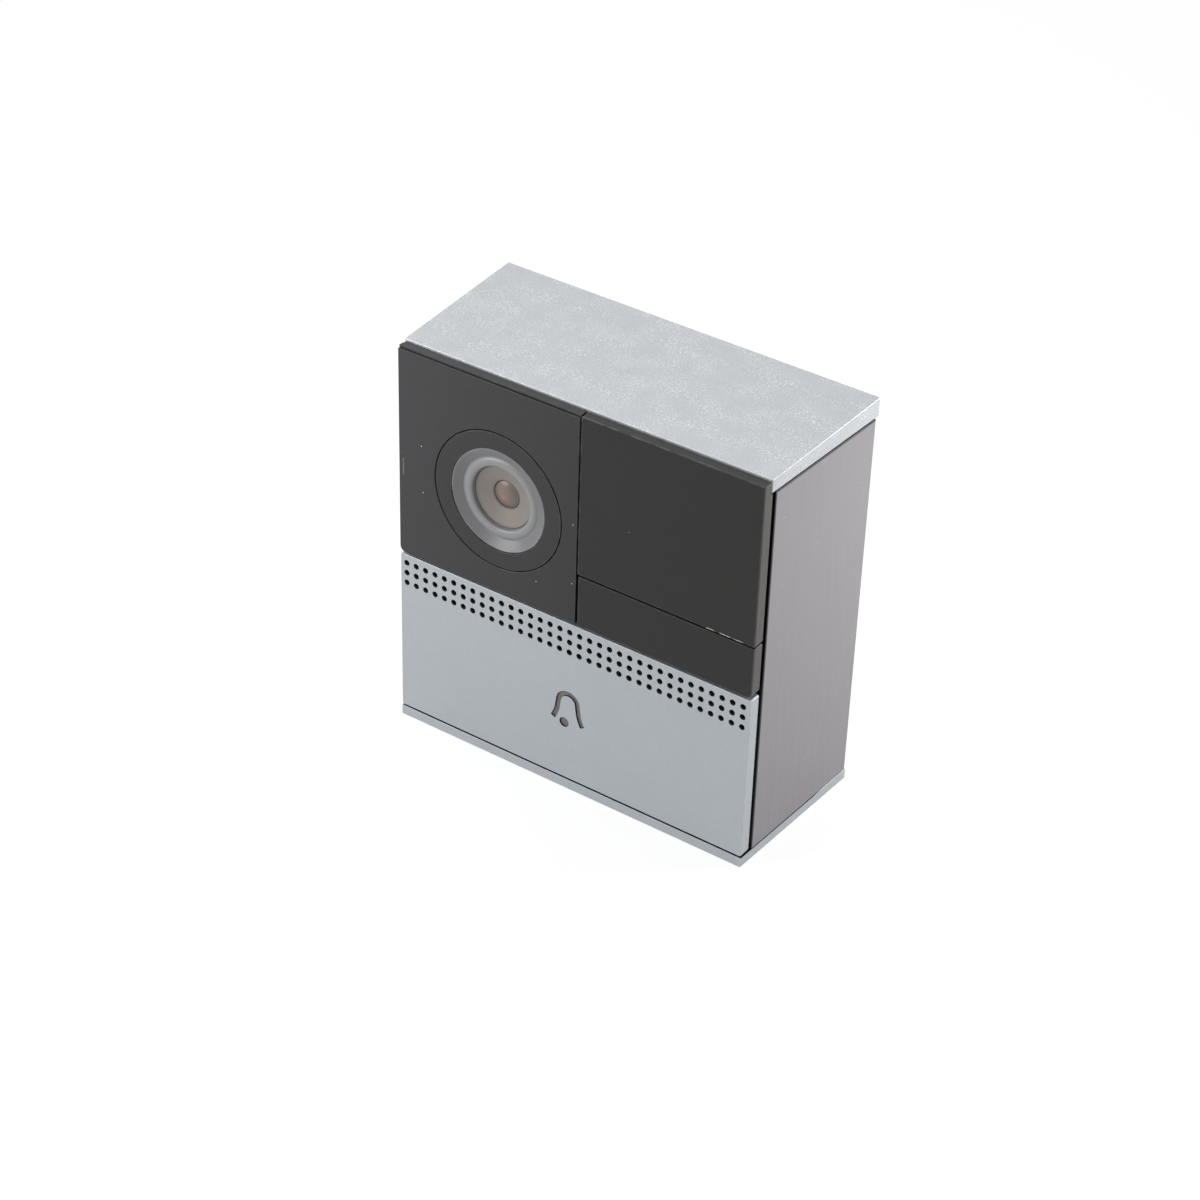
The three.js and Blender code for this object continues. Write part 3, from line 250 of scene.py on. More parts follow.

# %% [markdown]
# The metal pieces. The cover, base and push plate look like aluminium that was blasted with fine
# beads and then clear anodised: a soft silver grey without a clear reflection, with tiny bright
# points. The side panels look brushed upright and anodised a warm dark grey. A metallic value well
# below a bare metal's matched these matt surfaces best. The steel and the gold are bare metal.
# Every metal keeps the default IOR.

# %% Metal finishes
# painted shade: a near black that stands in for the shade in the gaps beside the side panels and above the
# base
SHADE_BLACK = "#0C0C0D"
SHADED_FRONT_WIDTH, SHADED_TOP_WIDTH = 0.3 * MM, 0.35 * MM  # widths of the painted shade along the front and top edges of a side panel
BASE_RIM = Vector((0.45, 0.12, 0)) * MM  # pale rim left round the painted shade on the base's top


def blasted_aluminium(name, colour, sparkle, amount):
    finish = start_finish(name, colour, 0.42, 0.4)
    mottled(finish, sparkle, 5, 0.35, 0.75, 0.12)  # a slow change of tone, about 5 mm across
    clusters = between(finish, noise(finish, 6), 0.38, 0.62, 0.4, 1)
    # Bright points of 0.24 mm. Real bead marks are finer, and these are as coarse as they need to show.
    marks = between(finish, noise(finish, 0.24, 1), 0.52, 0.72, 0, amount)
    tinted(finish, product(finish, marks, clusters), "#F2F4F6")
    grained(finish, 0.22, 0.006, 0.38, 0.5)
    worn_edges(finish, "#E4E7EA", 0.15, 0.5)
    return finish


def brushed_panel(name):
    finish = start_finish(name, "#837F84", 0.42, 0.05)
    drift(finish, "Z", 0, 70, "#959296")  # painted reflection: the panel is painted paler upwards, where the reflection in it is brighter
    lines = between(finish, noise(finish, 0.3, 3, (1, 1, 0.03)), 0.35, 0.65, 0, 0.3)
    tinted(finish, lines, "#A29FA2")  # brush lines 0.3 mm apart, coarse enough to show
    grained(finish, 0.3, 0.002, 0.34, 0.42, (1, 1, 0.03))
    dusted(finish, "#D5D3D5", 12, 0.15, 0.2, ("Y", "Z"))
    worn_edges(finish, "#C2C0C3", 0.15, 0.5)
    low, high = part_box("side_panel_left")
    # painted shade along the front and top edges, where the gaps beside the panel lie in shadow
    for start, end in (((None, low.y, None), (None, low.y + SHADED_FRONT_WIDTH, None)),
                       ((None, None, high.z - SHADED_TOP_WIDTH), (None, None, high.z))):
        tinted(finish, box_mask(finish, start, end), SHADE_BLACK)
    return finish["material"]


def plain_metal(name, colour, roughness, stretch=(1, 1, 1)):
    finish = start_finish(name, colour, roughness, 1.0)
    mottled(finish, "#FFFFFF", 5, 0.3, 0.9, 0.06)
    strokes = between(finish, noise(finish, 0.3, 3, stretch), 0.35, 0.65, 0, 0.1)
    tinted(finish, strokes, "#FFFFFF")
    grained(finish, 0.3, 0.003, roughness - 0.03, roughness + 0.04, stretch)
    worn_edges(finish, "#FFFFFF", 0.15, 0.3)
    return finish["material"]


# The cover is a pale silver grey full of bright points. The plate and base are smoother and bluer.
cover_metal = blasted_aluminium("blasted_aluminium_cover", "#BBBEC2", "#D5D8DC", 0.85)["material"]
plate_metal = blasted_aluminium("blasted_aluminium_plate", "#AEB4B9", "#BCC2C7", 0.1)["material"]
base_finish = blasted_aluminium("blasted_aluminium_base", "#AEB4B9", "#BCC2C7", 0.1)
base_low, base_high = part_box("base_plate")
top_low = base_low + BASE_RIM + Vector((0, 0, base_high.z - 0.06 * MM))
top_high = base_high - BASE_RIM + Vector((0, 0, 1))
tinted(base_finish, box_mask(base_finish, top_low, top_high), SHADE_BLACK)  # painted shade: the base's top, seen in the gap under the push plate, is painted dark
base_metal = base_finish["material"]
panel_metal = brushed_panel("brushed_dark_aluminium")
# The steel is a cool grey with level strokes. The gold is a small warm gleam.
steel = plain_metal("brushed_stainless_steel", "#8B8D90", 0.42, (0.03, 1, 1))
gold = plain_metal("gold_plated_spring_wire", "#D9B45C", 0.25)
print("metal finishes:", len(bpy.data.materials))

# %% [markdown]
# The dark pieces look like moulded plastic. ABS from a finely etched mould is matt and turns grey
# where it is rubbed. The two sensor windows are taken as polycarbonate that lets infrared through:
# smoother, a shade darker, and chipped along the joint between them. Plastic has an IOR close to
# 1.5. The windows, the housing and the chassis have a lower one here, because that matched their
# faint gloss better.

# %% Plastic finishes
CAMERA_X, CAMERA_Z = -17.02, 58.87  # the camera's axis, from the middle and up from the underside
CHIP_SIZE = 1.2
SEAM = 0.27 * MM  # half width of the dark seam between the windows


def moulded_plastic(name, colour, lighter, roughness, grain_mm=0.25, wear="#6E6B68", ior=1.5,
                    wear_amount=0.45, dust=0.12):
    finish = start_finish(name, colour, roughness, 0.0, ior)
    finish["shader"].inputs["Sheen Weight"].default_value = dust  # fine dust, seen at a low angle
    finish["shader"].inputs["Sheen Roughness"].default_value = 0.3
    mottled(finish, lighter, 6, 0.35, 0.75, 0.5)
    grained(finish, grain_mm, 0.008, roughness - 0.05, roughness + 0.07)
    worn_edges(finish, wear, 0.3, wear_amount)
    return finish


def chipped(finish, low, high, colour="#B9B6B2"):
    """Small pale chips along one short stretch of an edge."""
    chips = between(finish, noise(finish, CHIP_SIZE, 4), 0.47, 0.52)
    tinted(finish, product(finish, box_mask(finish, low, high, 0.03), chips), colour)


joint_z = (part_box("ir_window")[1].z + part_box("pir_window")[0].z) / 2
window_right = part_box("pir_window")[1].x
# The windows are smooth and nearly black, with grey chips and a right wall painted lighter as painted light.
window_finish = moulded_plastic("infrared_polycarbonate", "#141312", "#1A1817", 0.42, 0.3, "#86827D",
                                ior=1.4, wear_amount=0.75)
seam = box_mask(window_finish, (None, None, joint_z - SEAM), (None, None, joint_z + SEAM), 0.04)
tinted(window_finish, seam, "#0B0A0A")
chipped(window_finish, (window_right - 10.5 * MM, None, joint_z + 0.05 * MM),
        (window_right - 2.5 * MM, None, joint_z + 0.42 * MM))
# painted light: the right wall is painted lighter, as if lit from the right
painted_light_wall = box_mask(window_finish, (window_right - 0.12 * MM, None, None), (window_right + MM, None, None))
tinted(window_finish, painted_light_wall, "#4A4745")
dusted(window_finish, "#9A9896", 11, 0.13, 0.16)
window_plastic = window_finish["material"]

# The camera block is a matt black, painted paler towards the left as painted light, with a scratch and a few
# pale specks.
fascia_finish = moulded_plastic("etched_black_abs", "#161517", "#1B1A1C", 0.5)
# painted light: paler towards the left, where the light falls
drift(fascia_finish, "X", 0, -38, "#29282B")
fascia_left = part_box("camera_fascia")[0].x
chipped(fascia_finish, (fascia_left + 0.9 * MM, None, 56 * MM),
        (fascia_left + 1.1 * MM, None, 60 * MM), "#707072")
dusted(fascia_finish, "#D8D8D8", 9, 0.15, 0.22)
fascia_plastic = fascia_finish["material"]
# The ring is a matt black with a finer grain. The housing is a coarser moulding. The chassis is painted
# darker than black plastic as painted shade, so that the joints in front of it read as black lines,
# and the walls of the holes are as dark, as painted shade.
ring_plastic = moulded_plastic("turned_black_acetal", "#181716", "#1E1D1C", 0.5, 0.2)["material"]
housing_plastic = moulded_plastic("moulded_black_abs", "#131314", "#1A1A1B", 0.6, 0.4, ior=1.4)["material"]
# painted shade: a darker black than the plastic round it, so the gaps in front of it read as shadow
chassis_finish = moulded_plastic("shade_black_chassis", "#09090A", "#0C0C0D", 0.8, ior=1.25, dust=0)
chassis_plastic = chassis_finish["material"]
hole_plastic = moulded_plastic("shadowed_hole_wall", "#0C0C0D", "#101010", 0.6)["material"]
# The bezel is a satin mid grey whose bead is painted lighter, as painted light on its rounded face. The
# barrel is a matt, warmer grey that turns darker beside the pupil.
bezel_finish = moulded_plastic("satin_grey_bezel", "#727274", "#78787A", 0.34, 0.2, "#B5B6BA")
off_axis = from_axis(bezel_finish, CAMERA_X, CAMERA_Z)
# painted light: the bead, within 8.2 to 8.7 mm of the axis, is painted lighter
tinted(bezel_finish, between(bezel_finish, off_axis, 8.7 * MM, 8.2 * MM), "#8D8E90")
bezel_plastic = bezel_finish["material"]
barrel_finish = moulded_plastic("warm_grey_lens_barrel", "#857E79", "#8A837D", 0.45, 0.2, "#A39C96")
off_axis = from_axis(barrel_finish, CAMERA_X, CAMERA_Z)
tinted(barrel_finish, between(barrel_finish, off_axis, 3.3 * MM, 2.9 * MM), "#6C635E")
barrel_plastic = barrel_finish["material"]
# A smoky grey guide, dark parts with a slight gloss, fresh green nylon, and dead matt foam.
guide_plastic = moulded_plastic("smoked_light_guide", "#6B6664", "#78726F", 0.35, 0.3, "#8C8783")["material"]
epoxy = moulded_plastic("black_epoxy_component", "#1A1A1C", "#232326", 0.45)["material"]
nylon = moulded_plastic("green_nylon", "#2F7A46", "#378650", 0.5, wear="#7FB08E")["material"]
rubber = moulded_plastic("black_foam_rubber", "#1E1E1E", "#2A2A2A", 0.85, 0.6)["material"]
print("plastic finishes:", len(bpy.data.materials))

# %% [markdown]
# Three finishes need a pattern of their own. The front lens looks hazy and warm grey, with a small
# warm glint beside its middle that is a painted highlight, so its gloss is kept soft. A circuit board is
# green with lighter tracks under its varnish. The dust screen behind the grille is black woven cloth.

# %% Glass, circuit board and cloth
# middle of a painted highlight: a warm glint painted into the lens's colour
PAINTED_GLINT_X, PAINTED_GLINT_Z = CAMERA_X - 0.28, CAMERA_Z - 0.37


def coated_glass(name):
    finish = start_finish(name, "#756A64", 0.3, 0.0, 1.45)
    # a lighter, warmer middle, and the painted highlight of the glint beside it
    for x, z, outer, inner, colour in ((CAMERA_X, CAMERA_Z, 2.0, 1.2, "#857468"),
                                       (PAINTED_GLINT_X, PAINTED_GLINT_Z, 0.7, 0.1, "#B4764F")):
        tinted(finish, between(finish, from_axis(finish, x, z), outer * MM, inner * MM, 0, 0.6), colour)
    worn_edges(finish, "#A09892", 0.15, 0.3)
    return finish["material"]


def circuit_board(name):
    finish = start_finish(name, "#1F5A34", 0.4)
    tracks = add(finish["tree"], "ShaderNodeTexBrick",
                 {"Scale": 1 / (6 * MM), "Mortar Size": 0.02, "Color1": (0, 0, 0, 1), "Color2": (0, 0, 0, 1),
                  "Mortar": (1, 1, 1, 1)}, {"Vector": finish["place"]})
    tinted(finish, tracks.outputs["Color"], "#3C8453")  # copper tracks 0.25 mm wide, 3 to 6 mm apart
    grained(finish, 0.5, 0.01, 0.33, 0.45)
    worn_edges(finish, "#A8A06A", 0.2, 0.6)  # a paler edge, as of bare glass fibre
    return finish["material"]


def woven_cloth(name):
    finish = start_finish(name, "#0B0B0B", 0.9)
    tree = finish["tree"]
    for angle in (0, math.pi / 2):
        placed = add(tree, "ShaderNodeMapping", {"Rotation": (0, angle, 0)}, {"Vector": finish["place"]})
        threads = add(tree, "ShaderNodeTexWave", {"Scale": 1 / (2 * MM), "bands_direction": "X"},
                      {"Vector": placed.outputs[0]})  # threads 0.6 mm apart, coarse enough to show
        tinted(finish, between(finish, threads.outputs[0], 0.6, 1, 0, 0.35), "#1A1A1A")
    return finish["material"]


lens_glass = coated_glass("coated_lens_glass")
board = circuit_board("varnished_circuit_board")
cloth = woven_cloth("black_woven_cloth")
print("finishes in all:", len(bpy.data.materials))

# %% [markdown]
# Shapes are given in millimetres, as a maker's drawing gives them: across from the middle of the
# case, back from the front face, and up from the underside. Most pieces are outlines with a
# thickness, or profiles turned about an axis. A modifier's result is always made a plain mesh, so
# that no piece keeps live modifiers.

# %% Shapes: the shared steps


def at(x, y, z):
    return Vector((x * MM, FRONT + y * MM, z * MM))


def new_object(name, mesh):
    obj = bpy.data.objects.new(name, mesh)
    bpy.context.scene.collection.objects.link(obj)
    return obj


def object_from(name, shape):
    """A new object from a bmesh, with its faces pointing outwards."""
    bmesh.ops.recalc_face_normals(shape, faces=shape.faces)
    mesh = bpy.data.meshes.new(name)
    shape.to_mesh(mesh)
    shape.free()
    return new_object(name, mesh)


def settle(obj):
    """Makes the result of the modifiers the object's own mesh."""
    graph = bpy.context.evaluated_depsgraph_get()
    mesh = bpy.data.meshes.new_from_object(obj.evaluated_get(graph), depsgraph=graph)
    obj.modifiers.clear()
    obj.data = mesh
    return obj


def rounded(x0, x1, z0, z1, radii, steps=8):
    """A rectangle's outline; radii are bottom left, bottom right, top right, top left."""
    corners = [(x0, z0, 1, 1, 180), (x1, z0, -1, 1, 270), (x1, z1, -1, -1, 0), (x0, z1, 1, -1, 90)]
    points = []
    for (x, z, side, up, start), radius in zip(corners, radii):
        for i in range(steps + 1):
            angle = math.radians(start + 90 * i / steps)
            across, high = radius * math.cos(angle), radius * math.sin(angle)
            points.append((x + side * radius + across, z + up * radius + high))
    return points


def slab(name, outline, y0, y1):
    shape = bmesh.new()
    front = [shape.verts.new(at(x, y0, z)) for x, z in outline]
    back = [shape.verts.new(at(x, y1, z)) for x, z in outline]
    shape.faces.new(front)
    shape.faces.new(back[::-1])
    for i in range(len(outline)):
        shape.faces.new((front[i - 1], front[i], back[i], back[i - 1]))
    return object_from(name, shape)


def block(name, x0, x1, y0, y1, z0, z1):
    return slab(name, [(x0, z0), (x1, z0), (x1, z1), (x0, z1)], y0, y1)


def turned(name, profile, x, z, sides=128):
    """A profile of (radius, depth) turned about a line from front to back."""
    shape = bmesh.new()
    rings = []
    for radius, y in profile:
        count = 1 if radius == 0 else sides
        angles = [2 * math.pi * i / sides for i in range(count)]
        places = [at(x + radius * math.cos(a), y, z + radius * math.sin(a)) for a in angles]
        rings.append([shape.verts.new(place) for place in places])
    closed = profile[0][0] > 0
    for first, second in zip(rings, rings[1:] + rings[:1] if closed else rings[1:]):
        for i in range(sides):
            corners = {v: None for v in (first[i % len(first)], first[(i + 1) % len(first)],
                                         second[(i + 1) % len(second)], second[i % len(second)])}
            if len(corners) > 2:
                shape.faces.new(list(corners))
    return object_from(name, shape)


def circle(radius, x, z, sides):
    angles = [2 * math.pi * i / sides for i in range(sides)]
    return [(x + radius * math.cos(a), z + radius * math.sin(a)) for a in angles]


def rod(name, radius, y0, y1, x, z, sides=48):
    return slab(name, circle(radius, x, z, sides), y0, y1)


def tipped(obj, place, turn):
    """Turns a rod that was made at the origin, and puts its start at a place."""
    for vertex in obj.data.vertices:
        across, deep, up = vertex.co.x, vertex.co.y - FRONT, vertex.co.z
        vertex.co = place + Vector(turn(across, deep, up))
    return obj


def upright_rod(name, radius, z0, z1, x, y, sides=64):
    stick = rod(name, radius, 0, z1 - z0, 0, 0, sides)
    return tipped(stick, at(x, y, z0), lambda across, deep, up: (across, -up, deep))


def lying_rod(name, radius, x0, x1, y, z, sides=32):
    stick = rod(name, radius, 0, x1 - x0, 0, 0, sides)
    return tipped(stick, at(x0, y, z), lambda across, deep, up: (deep, -across, up))


def combine(obj, operation, others):
    """Cuts or joins, and merges the near-double points that this leaves, so that the mesh stays closed."""
    for other in others:
        step = obj.modifiers.new(other.name, "BOOLEAN")
        step.object = other
        step.operation = operation
        step.solver = "EXACT"
        step.material_mode = "TRANSFER"
    settle(obj)
    for other in others:
        bpy.data.objects.remove(other)
    shape = bmesh.new()
    shape.from_mesh(obj.data)
    bmesh.ops.remove_doubles(shape, verts=shape.verts, dist=0.003 * MM)
    shape.to_mesh(obj.data)
    shape.free()
    return obj


def cut(obj, *others):
    return combine(obj, "DIFFERENCE", others)


def join(obj, *others):
    return combine(obj, "UNION", others)


def soften(obj, radius, segments=3, angle=35):
    """Rounds the edges, as a mould or a file leaves them."""
    step = obj.modifiers.new("edges", "BEVEL")
    step.width = radius * MM
    step.segments = segments
    step.limit_method = "ANGLE"
    step.angle_limit = math.radians(angle)
    return settle(obj)


def polish(obj, angle=40):
    """Smooth shading on curves, with flat faces left flat and hard corners left hard."""
    shape = bmesh.new()
    shape.from_mesh(obj.data)
    for face in shape.faces:
        face.smooth = True
    for edge in shape.edges:
        edge.smooth = edge.is_manifold and edge.calc_face_angle() < math.radians(angle)
    shape.to_mesh(obj.data)
    shape.free()
    step = obj.modifiers.new("flat faces", "WEIGHTED_NORMAL")
    step.keep_sharp = True
    return settle(obj)


def fine_copy(name, node):
    """A node's shape with its loose triangles merged back into whole faces."""
    shape = bmesh.new()
    shape.from_mesh(frame["nodes"][node].data)
    bmesh.ops.remove_doubles(shape, verts=shape.verts, dist=1e-6)
    bmesh.ops.dissolve_limit(shape, angle_limit=math.radians(1), verts=shape.verts, edges=shape.edges)
    return object_from(name, shape)


def fit(obj, material, body, slot, *nodes):
    """Gives a finished piece its material and its body, and hides the CAD nodes that it stands for."""
    if not obj.data.materials:
        obj.data.materials.append(material)
    for index, found in enumerate(obj.data.materials):
        obj.data.materials[index] = found or material
    obj.data.name = obj.name
    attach(obj, body)
    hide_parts(*nodes)
    print(f"{obj.name}: {len(obj.data.polygons)} faces")
    return obj


print("front face at", round(FRONT / MM, 2), "mm")

# %% [markdown]
# The outer shell: a cover, a base and two side panels. They are plain plates, so the CAD shape is
# right and only the edges are missing. A merged copy gets a small radius, because a real plate
# always has one and it catches the light along every edge. The base is made again from its corners,
# so that the recess for the locking screw is round.

# %% Cover, base and side panels


def plate_from(name, node, radius, material, slot):
    obj = polish(soften(fine_copy(name, node), radius))
    return fit(obj, material, "case", slot, node)


plate_from("cover_plate", "top_cap", 0.18, cover_metal, "satin_aluminium")
plate_from("side_panel_fine_left", "side_panel_left", 0.12, panel_metal, "dark_anodised")
plate_from("side_panel_fine_right", "side_panel_right", 0.12, panel_metal, "dark_anodised")

LUG_Y = 29.5  # depth of the locking screw's axis
WIDTH_FRONT = 80
RECESS_R, RECESS_DEPTH, SCREW_HOLE_R = 2.9, 1.45, 1.7
base_top = base_high.z / MM
base_depth = (base_high.y - FRONT) / MM


def drafted_block(name, half_front, half_back, y0, y1, z0, z1):
    """A plate that is a little wider at the back than at the front."""
    shape = bmesh.new()
    corners = [[shape.verts.new(at(side * half, y, z)) for side, half, y in
                ((-1, half_front, y0), (1, half_front, y0), (1, half_back, y1), (-1, half_back, y1))]
               for z in (z0, z1)]
    shape.faces.new(corners[0][::-1])
    shape.faces.new(corners[1])
    for i in range(4):
        shape.faces.new((corners[0][i - 1], corners[0][i], corners[1][i], corners[1][i - 1]))
    return object_from(name, shape)


base = drafted_block("base_slab", WIDTH_FRONT / 2, base_high.x / MM, 0, base_depth, 0, base_top)
soften(base, 0.11)
cut(base, upright_rod("recess", RECESS_R, -1, RECESS_DEPTH, 0, LUG_Y),
    upright_rod("screw_hole", SCREW_HOLE_R, -1, 3, 0, LUG_Y))
fit(polish(base), base_metal, "case", "satin_aluminium", "base_plate")

# %% [markdown]
# The camera block is a thin face on a tray that shows only as a lip along the top. The face is an
# outline with a depth, rounded more at its lower left corner, and a drill turned to the shape of the
# groove cuts the hole for the ring. The ring is turned too, so that its edge stays round.

# %% Camera face, tray and ring
SKIN = 1.3  # thickness of the face and of the windows' fronts
HOLE_R = 14.6  # groove round the ring


def millimetres(node):
    """A node's box as x0, x1, y0, y1, z0, z1 on the maker's drawing."""
    low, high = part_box(node)
    return [v / MM for v in (low.x, high.x, low.y - FRONT, high.y - FRONT, low.z, high.z)]


x0, x1, y0, y1, z0, z1 = millimetres("camera_fascia")
face = soften(slab("camera_face", rounded(x0, x1, z0, z1, (1.2, 0.3, 0.3, 0.3)), y0, y1), 0.12)
drill = turned("groove", [(0, -1), (HOLE_R + 0.1, -1), (HOLE_R + 0.1, 0), (HOLE_R, 0.1), (HOLE_R, 2), (0, 2)],
               CAMERA_X, CAMERA_Z)
fit(polish(cut(face, drill)), fascia_plastic, "case", "black_abs", "camera_fascia")

ring_profile = [(10.75, SKIN), (10.75, 0.15), (10.79, 0.05), (10.9, 0), (14.2, 0), (14.34, 0.06), (14.4, 0.2),
                (14.4, SKIN)]
ring = turned("camera_ring_fine", ring_profile, CAMERA_X, CAMERA_Z)
fit(polish(ring), ring_plastic, "case", "black_abs", "camera_ring")
tray = polish(soften(fine_copy("camera_tray_fine", "camera_tray"), 0.06, 2))
fit(tray, fascia_plastic, "case", "black_abs", "camera_tray")

# %% [markdown]
# The two sensor windows are shells: a front with small radii, and a pocket behind it for what looks
# out through it. An outline with a depth gives the outside, and a block cut from behind gives the
# pocket. The upper window is thinner above the chassis, so a step is cut there as well.

# %% Sensor windows
WINDOW_WALL = 2.5
STEP_Y = 2.05  # depth that the upper window keeps above the chassis


def sensor_window(name, node, radii, pocket, step_z=None):
    x0, x1, y0, y1, z0, z1 = millimetres(node)
    obj = soften(slab(name, rounded(x0, x1, z0, z1, radii), y0, y1), 0.18)
    tools = [block("pocket", x0 + WINDOW_WALL, x1 - WINDOW_WALL, SKIN, y1 + 1,
                   z0 + pocket[0], z1 - pocket[1])]
    if step_z:
        tools.append(block("step", x0 - 1, x1 + 1, STEP_Y, y1 + 1, step_z, z1 + 1))
    fit(polish(cut(obj, *tools)), window_plastic, "case", "infrared_plastic", node)


chassis_top = millimetres("front_chassis")[5]
top_edge = millimetres("pir_window")[5]
sensor_window("motion_window", "pir_window", (0.4,) * 4, (2.72, top_edge - chassis_top + 2), chassis_top)
sensor_window("infrared_window", "ir_window", (0.4, 1.2, 0.4, 0.4), (2, 2))

# %% [markdown]
# The camera. Its grey bezel slopes in to a round bead, and the warm grey barrel and the small front
# lens lie inside it. They are turned from profiles with many sides, so their rims stay round.

# %% Lens
BEAD_R, BEAD_HALF, DISC_R, PUPIL_R = 7.5, 0.9, 6.45, 2.75


def arc(centre, radius, start, end, steps, flatten=1.0):
    """Points of (radius, depth) along an arc, in degrees; flatten squeezes it in depth."""
    points = []
    for i in range(steps + 1):
        angle = math.radians(start + (end - start) * i / steps)
        points.append((centre[0] + radius * math.cos(angle), centre[1] - flatten * radius * math.sin(angle)))
    return points


cove = [(8.7 - 0.525 * i / 8, 1.16 + 0.06 * math.sin(math.pi * i / 8) - 0.14 * i / 8) for i in range(9)]
bead = arc((BEAD_R, 1.35), BEAD_HALF, 45, 180, 20, 0.5 / BEAD_HALF)
bezel_profile = [(10.7, 1.35), (10.7, 0.24), (10.66, 0.16), (10.58, 0.13), (10.45, 0.14)] + cove + bead[1:]
bezel_profile += [(DISC_R + 0.06, 1.75), (DISC_R + 0.04, 2.6), (12.2, 2.6), (12.2, 1.35)]
bezel = turned("lens_bezel_fine", bezel_profile, CAMERA_X, CAMERA_Z)
fit(polish(bezel, 50), bezel_plastic, "case", "grey_bezel", "lens_bezel")

barrel_profile = [(DISC_R, 1.95), (6.41, 1.87), (6.33, 1.85), (6.2, 1.855), (6.08, 1.88)]
barrel_profile += [(PUPIL_R + 0.3, 2.88), (PUPIL_R + 0.15, 2.94), (PUPIL_R + 0.1, 3.05)]
barrel_profile += [(PUPIL_R + 0.1, 9), (5.5, 9), (5.5, 2.65), (DISC_R, 2.55)]
barrel = turned("lens_barrel_fine", barrel_profile, CAMERA_X, CAMERA_Z)
fit(polish(barrel, 50), barrel_plastic, "case", "barrel_grey", "lens_barrel")

half_angle = 0.5
dome = [(PUPIL_R * math.sin(half_angle * i / 16) / math.sin(half_angle),
         2.35 + 0.7 * (1 - math.cos(half_angle * i / 16)) / (1 - math.cos(half_angle))) for i in range(17)]
lens = turned("front_lens_fine", [(0, 2.35)] + dome[1:] + [(PUPIL_R, 5.5), (0, 5.5)], CAMERA_X, CAMERA_Z)
fit(polish(lens, 50), lens_glass, "case", "lens_glass", "front_lens")

# %% [markdown]
# The holes of the push plate. A real grille over a speaker and microphone is made by rows of punches,
# and here the punches are made before the plate. Geometry Nodes lay out the punches: a grid gives their
# places, one punch is put on each, and the whole field then cuts the plate in one go. The punch has
# a wider mouth, so each hole gets a rounded rim.

# %% A tree for the punches


def new_tree(name, inputs):
    """An empty Geometry Nodes tree with named inputs; returns it, its input node and its output node."""
    tree = bpy.data.node_groups.new(name, "GeometryNodeTree")
    tree.interface.new_socket("Geometry", in_out="INPUT", socket_type="NodeSocketGeometry")
    for label, kind in inputs.items():
        tree.interface.new_socket(label, in_out="INPUT", socket_type="NodeSocket" + kind)
    tree.interface.new_socket("Geometry", in_out="OUTPUT", socket_type="NodeSocketGeometry")
    return tree, add(tree, "NodeGroupInput").outputs, add(tree, "NodeGroupOutput")


def close_tree(tree, end, instances, material):
    real = add(tree, "GeometryNodeRealizeInstances", {}, {0: instances})
    dressed = add(tree, "GeometryNodeSetMaterial", {}, {"Geometry": real.outputs[0], "Material": material})
    tree.links.new(dressed.outputs[0], end.inputs[0])


def grow(name, tree, values):
    """Runs a tree on an empty object and keeps the result as a plain mesh."""
    obj = new_object(name, bpy.data.meshes.new(name))
    step = obj.modifiers.new(tree.name, "NODES")
    step.node_group = tree
    for item in tree.interface.items_tree:
        if item.in_out == "INPUT" and item.name in values:
            step[item.identifier] = values[item.name]
    settle(obj)
    print(f"{name}: {len(obj.data.polygons)} faces")
    return obj


def punch_field():
    tree, given, end = new_tree("punch_field", {
        "Columns": "Int", "Rows": "Int", "Pitch": "Float", "Radius": "Float", "Mouth": "Float",
        "Middle": "Vector", "Finish": "Material"})
    spans = []
    for count in ("Columns", "Rows"):
        gaps = add(tree, "ShaderNodeMath", {"operation": "SUBTRACT", 1: 1}, {0: given[count]})
        spans.append(add(tree, "ShaderNodeMath", {"operation": "MULTIPLY"},
                         {0: gaps.outputs[0], 1: given["Pitch"]}).outputs[0])
    grid = add(tree, "GeometryNodeMeshGrid", {}, {
        "Size X": spans[0], "Size Y": spans[1], "Vertices X": given["Columns"], "Vertices Y": given["Rows"]})
    upright = {"Rotation": (math.pi / 2, 0, 0)}
    places = add(tree, "GeometryNodeTransform", upright,
                 {0: grid.outputs[0], "Translation": given["Middle"]})
    shank = add(tree, "GeometryNodeMeshCylinder", {"Vertices": 24, "Depth": 3 * MM},
                {"Radius": given["Radius"]})
    wide = add(tree, "ShaderNodeMath", {"operation": "ADD"}, {0: given["Radius"], 1: given["Mouth"]})
    mouth = add(tree, "GeometryNodeMeshCone", {"Vertices": 24, "Depth": 0.14 * MM},
                {"Radius Bottom": given["Radius"], "Radius Top": wide.outputs[0]})
    lowered = add(tree, "GeometryNodeTransform", {"Translation": (0, 0, -0.12 * MM)}, {0: mouth.outputs[0]})
    punch = add(tree, "GeometryNodeMeshBoolean", {"operation": "UNION", "solver": "EXACT"},
                {1: shank.outputs[0]})
    tree.links.new(lowered.outputs[0], punch.inputs[1])
    aimed = add(tree, "GeometryNodeTransform", upright, {0: punch.outputs[0]})
    placed = add(tree, "GeometryNodeInstanceOnPoints", {},
                 {"Points": places.outputs[0], "Instance": aimed.outputs[0]})
    close_tree(tree, end, placed.outputs[0], given["Finish"])
    return tree


x0, x1, y0, y1, plate_z0, plate_z1 = millimetres("button_plate")
HOLE_PITCH, TOP_ROW = 2.259, 1.9  # TOP_ROW is from the plate's top edge to the first row
punches = grow("punches", punch_field(), {
    "Columns": 35, "Rows": 3, "Pitch": HOLE_PITCH * MM, "Radius": 0.58 * MM, "Mouth": 0.06 * MM,
    "Middle": at(0, 0, plate_z1 - TOP_ROW - HOLE_PITCH), "Finish": hole_plastic})

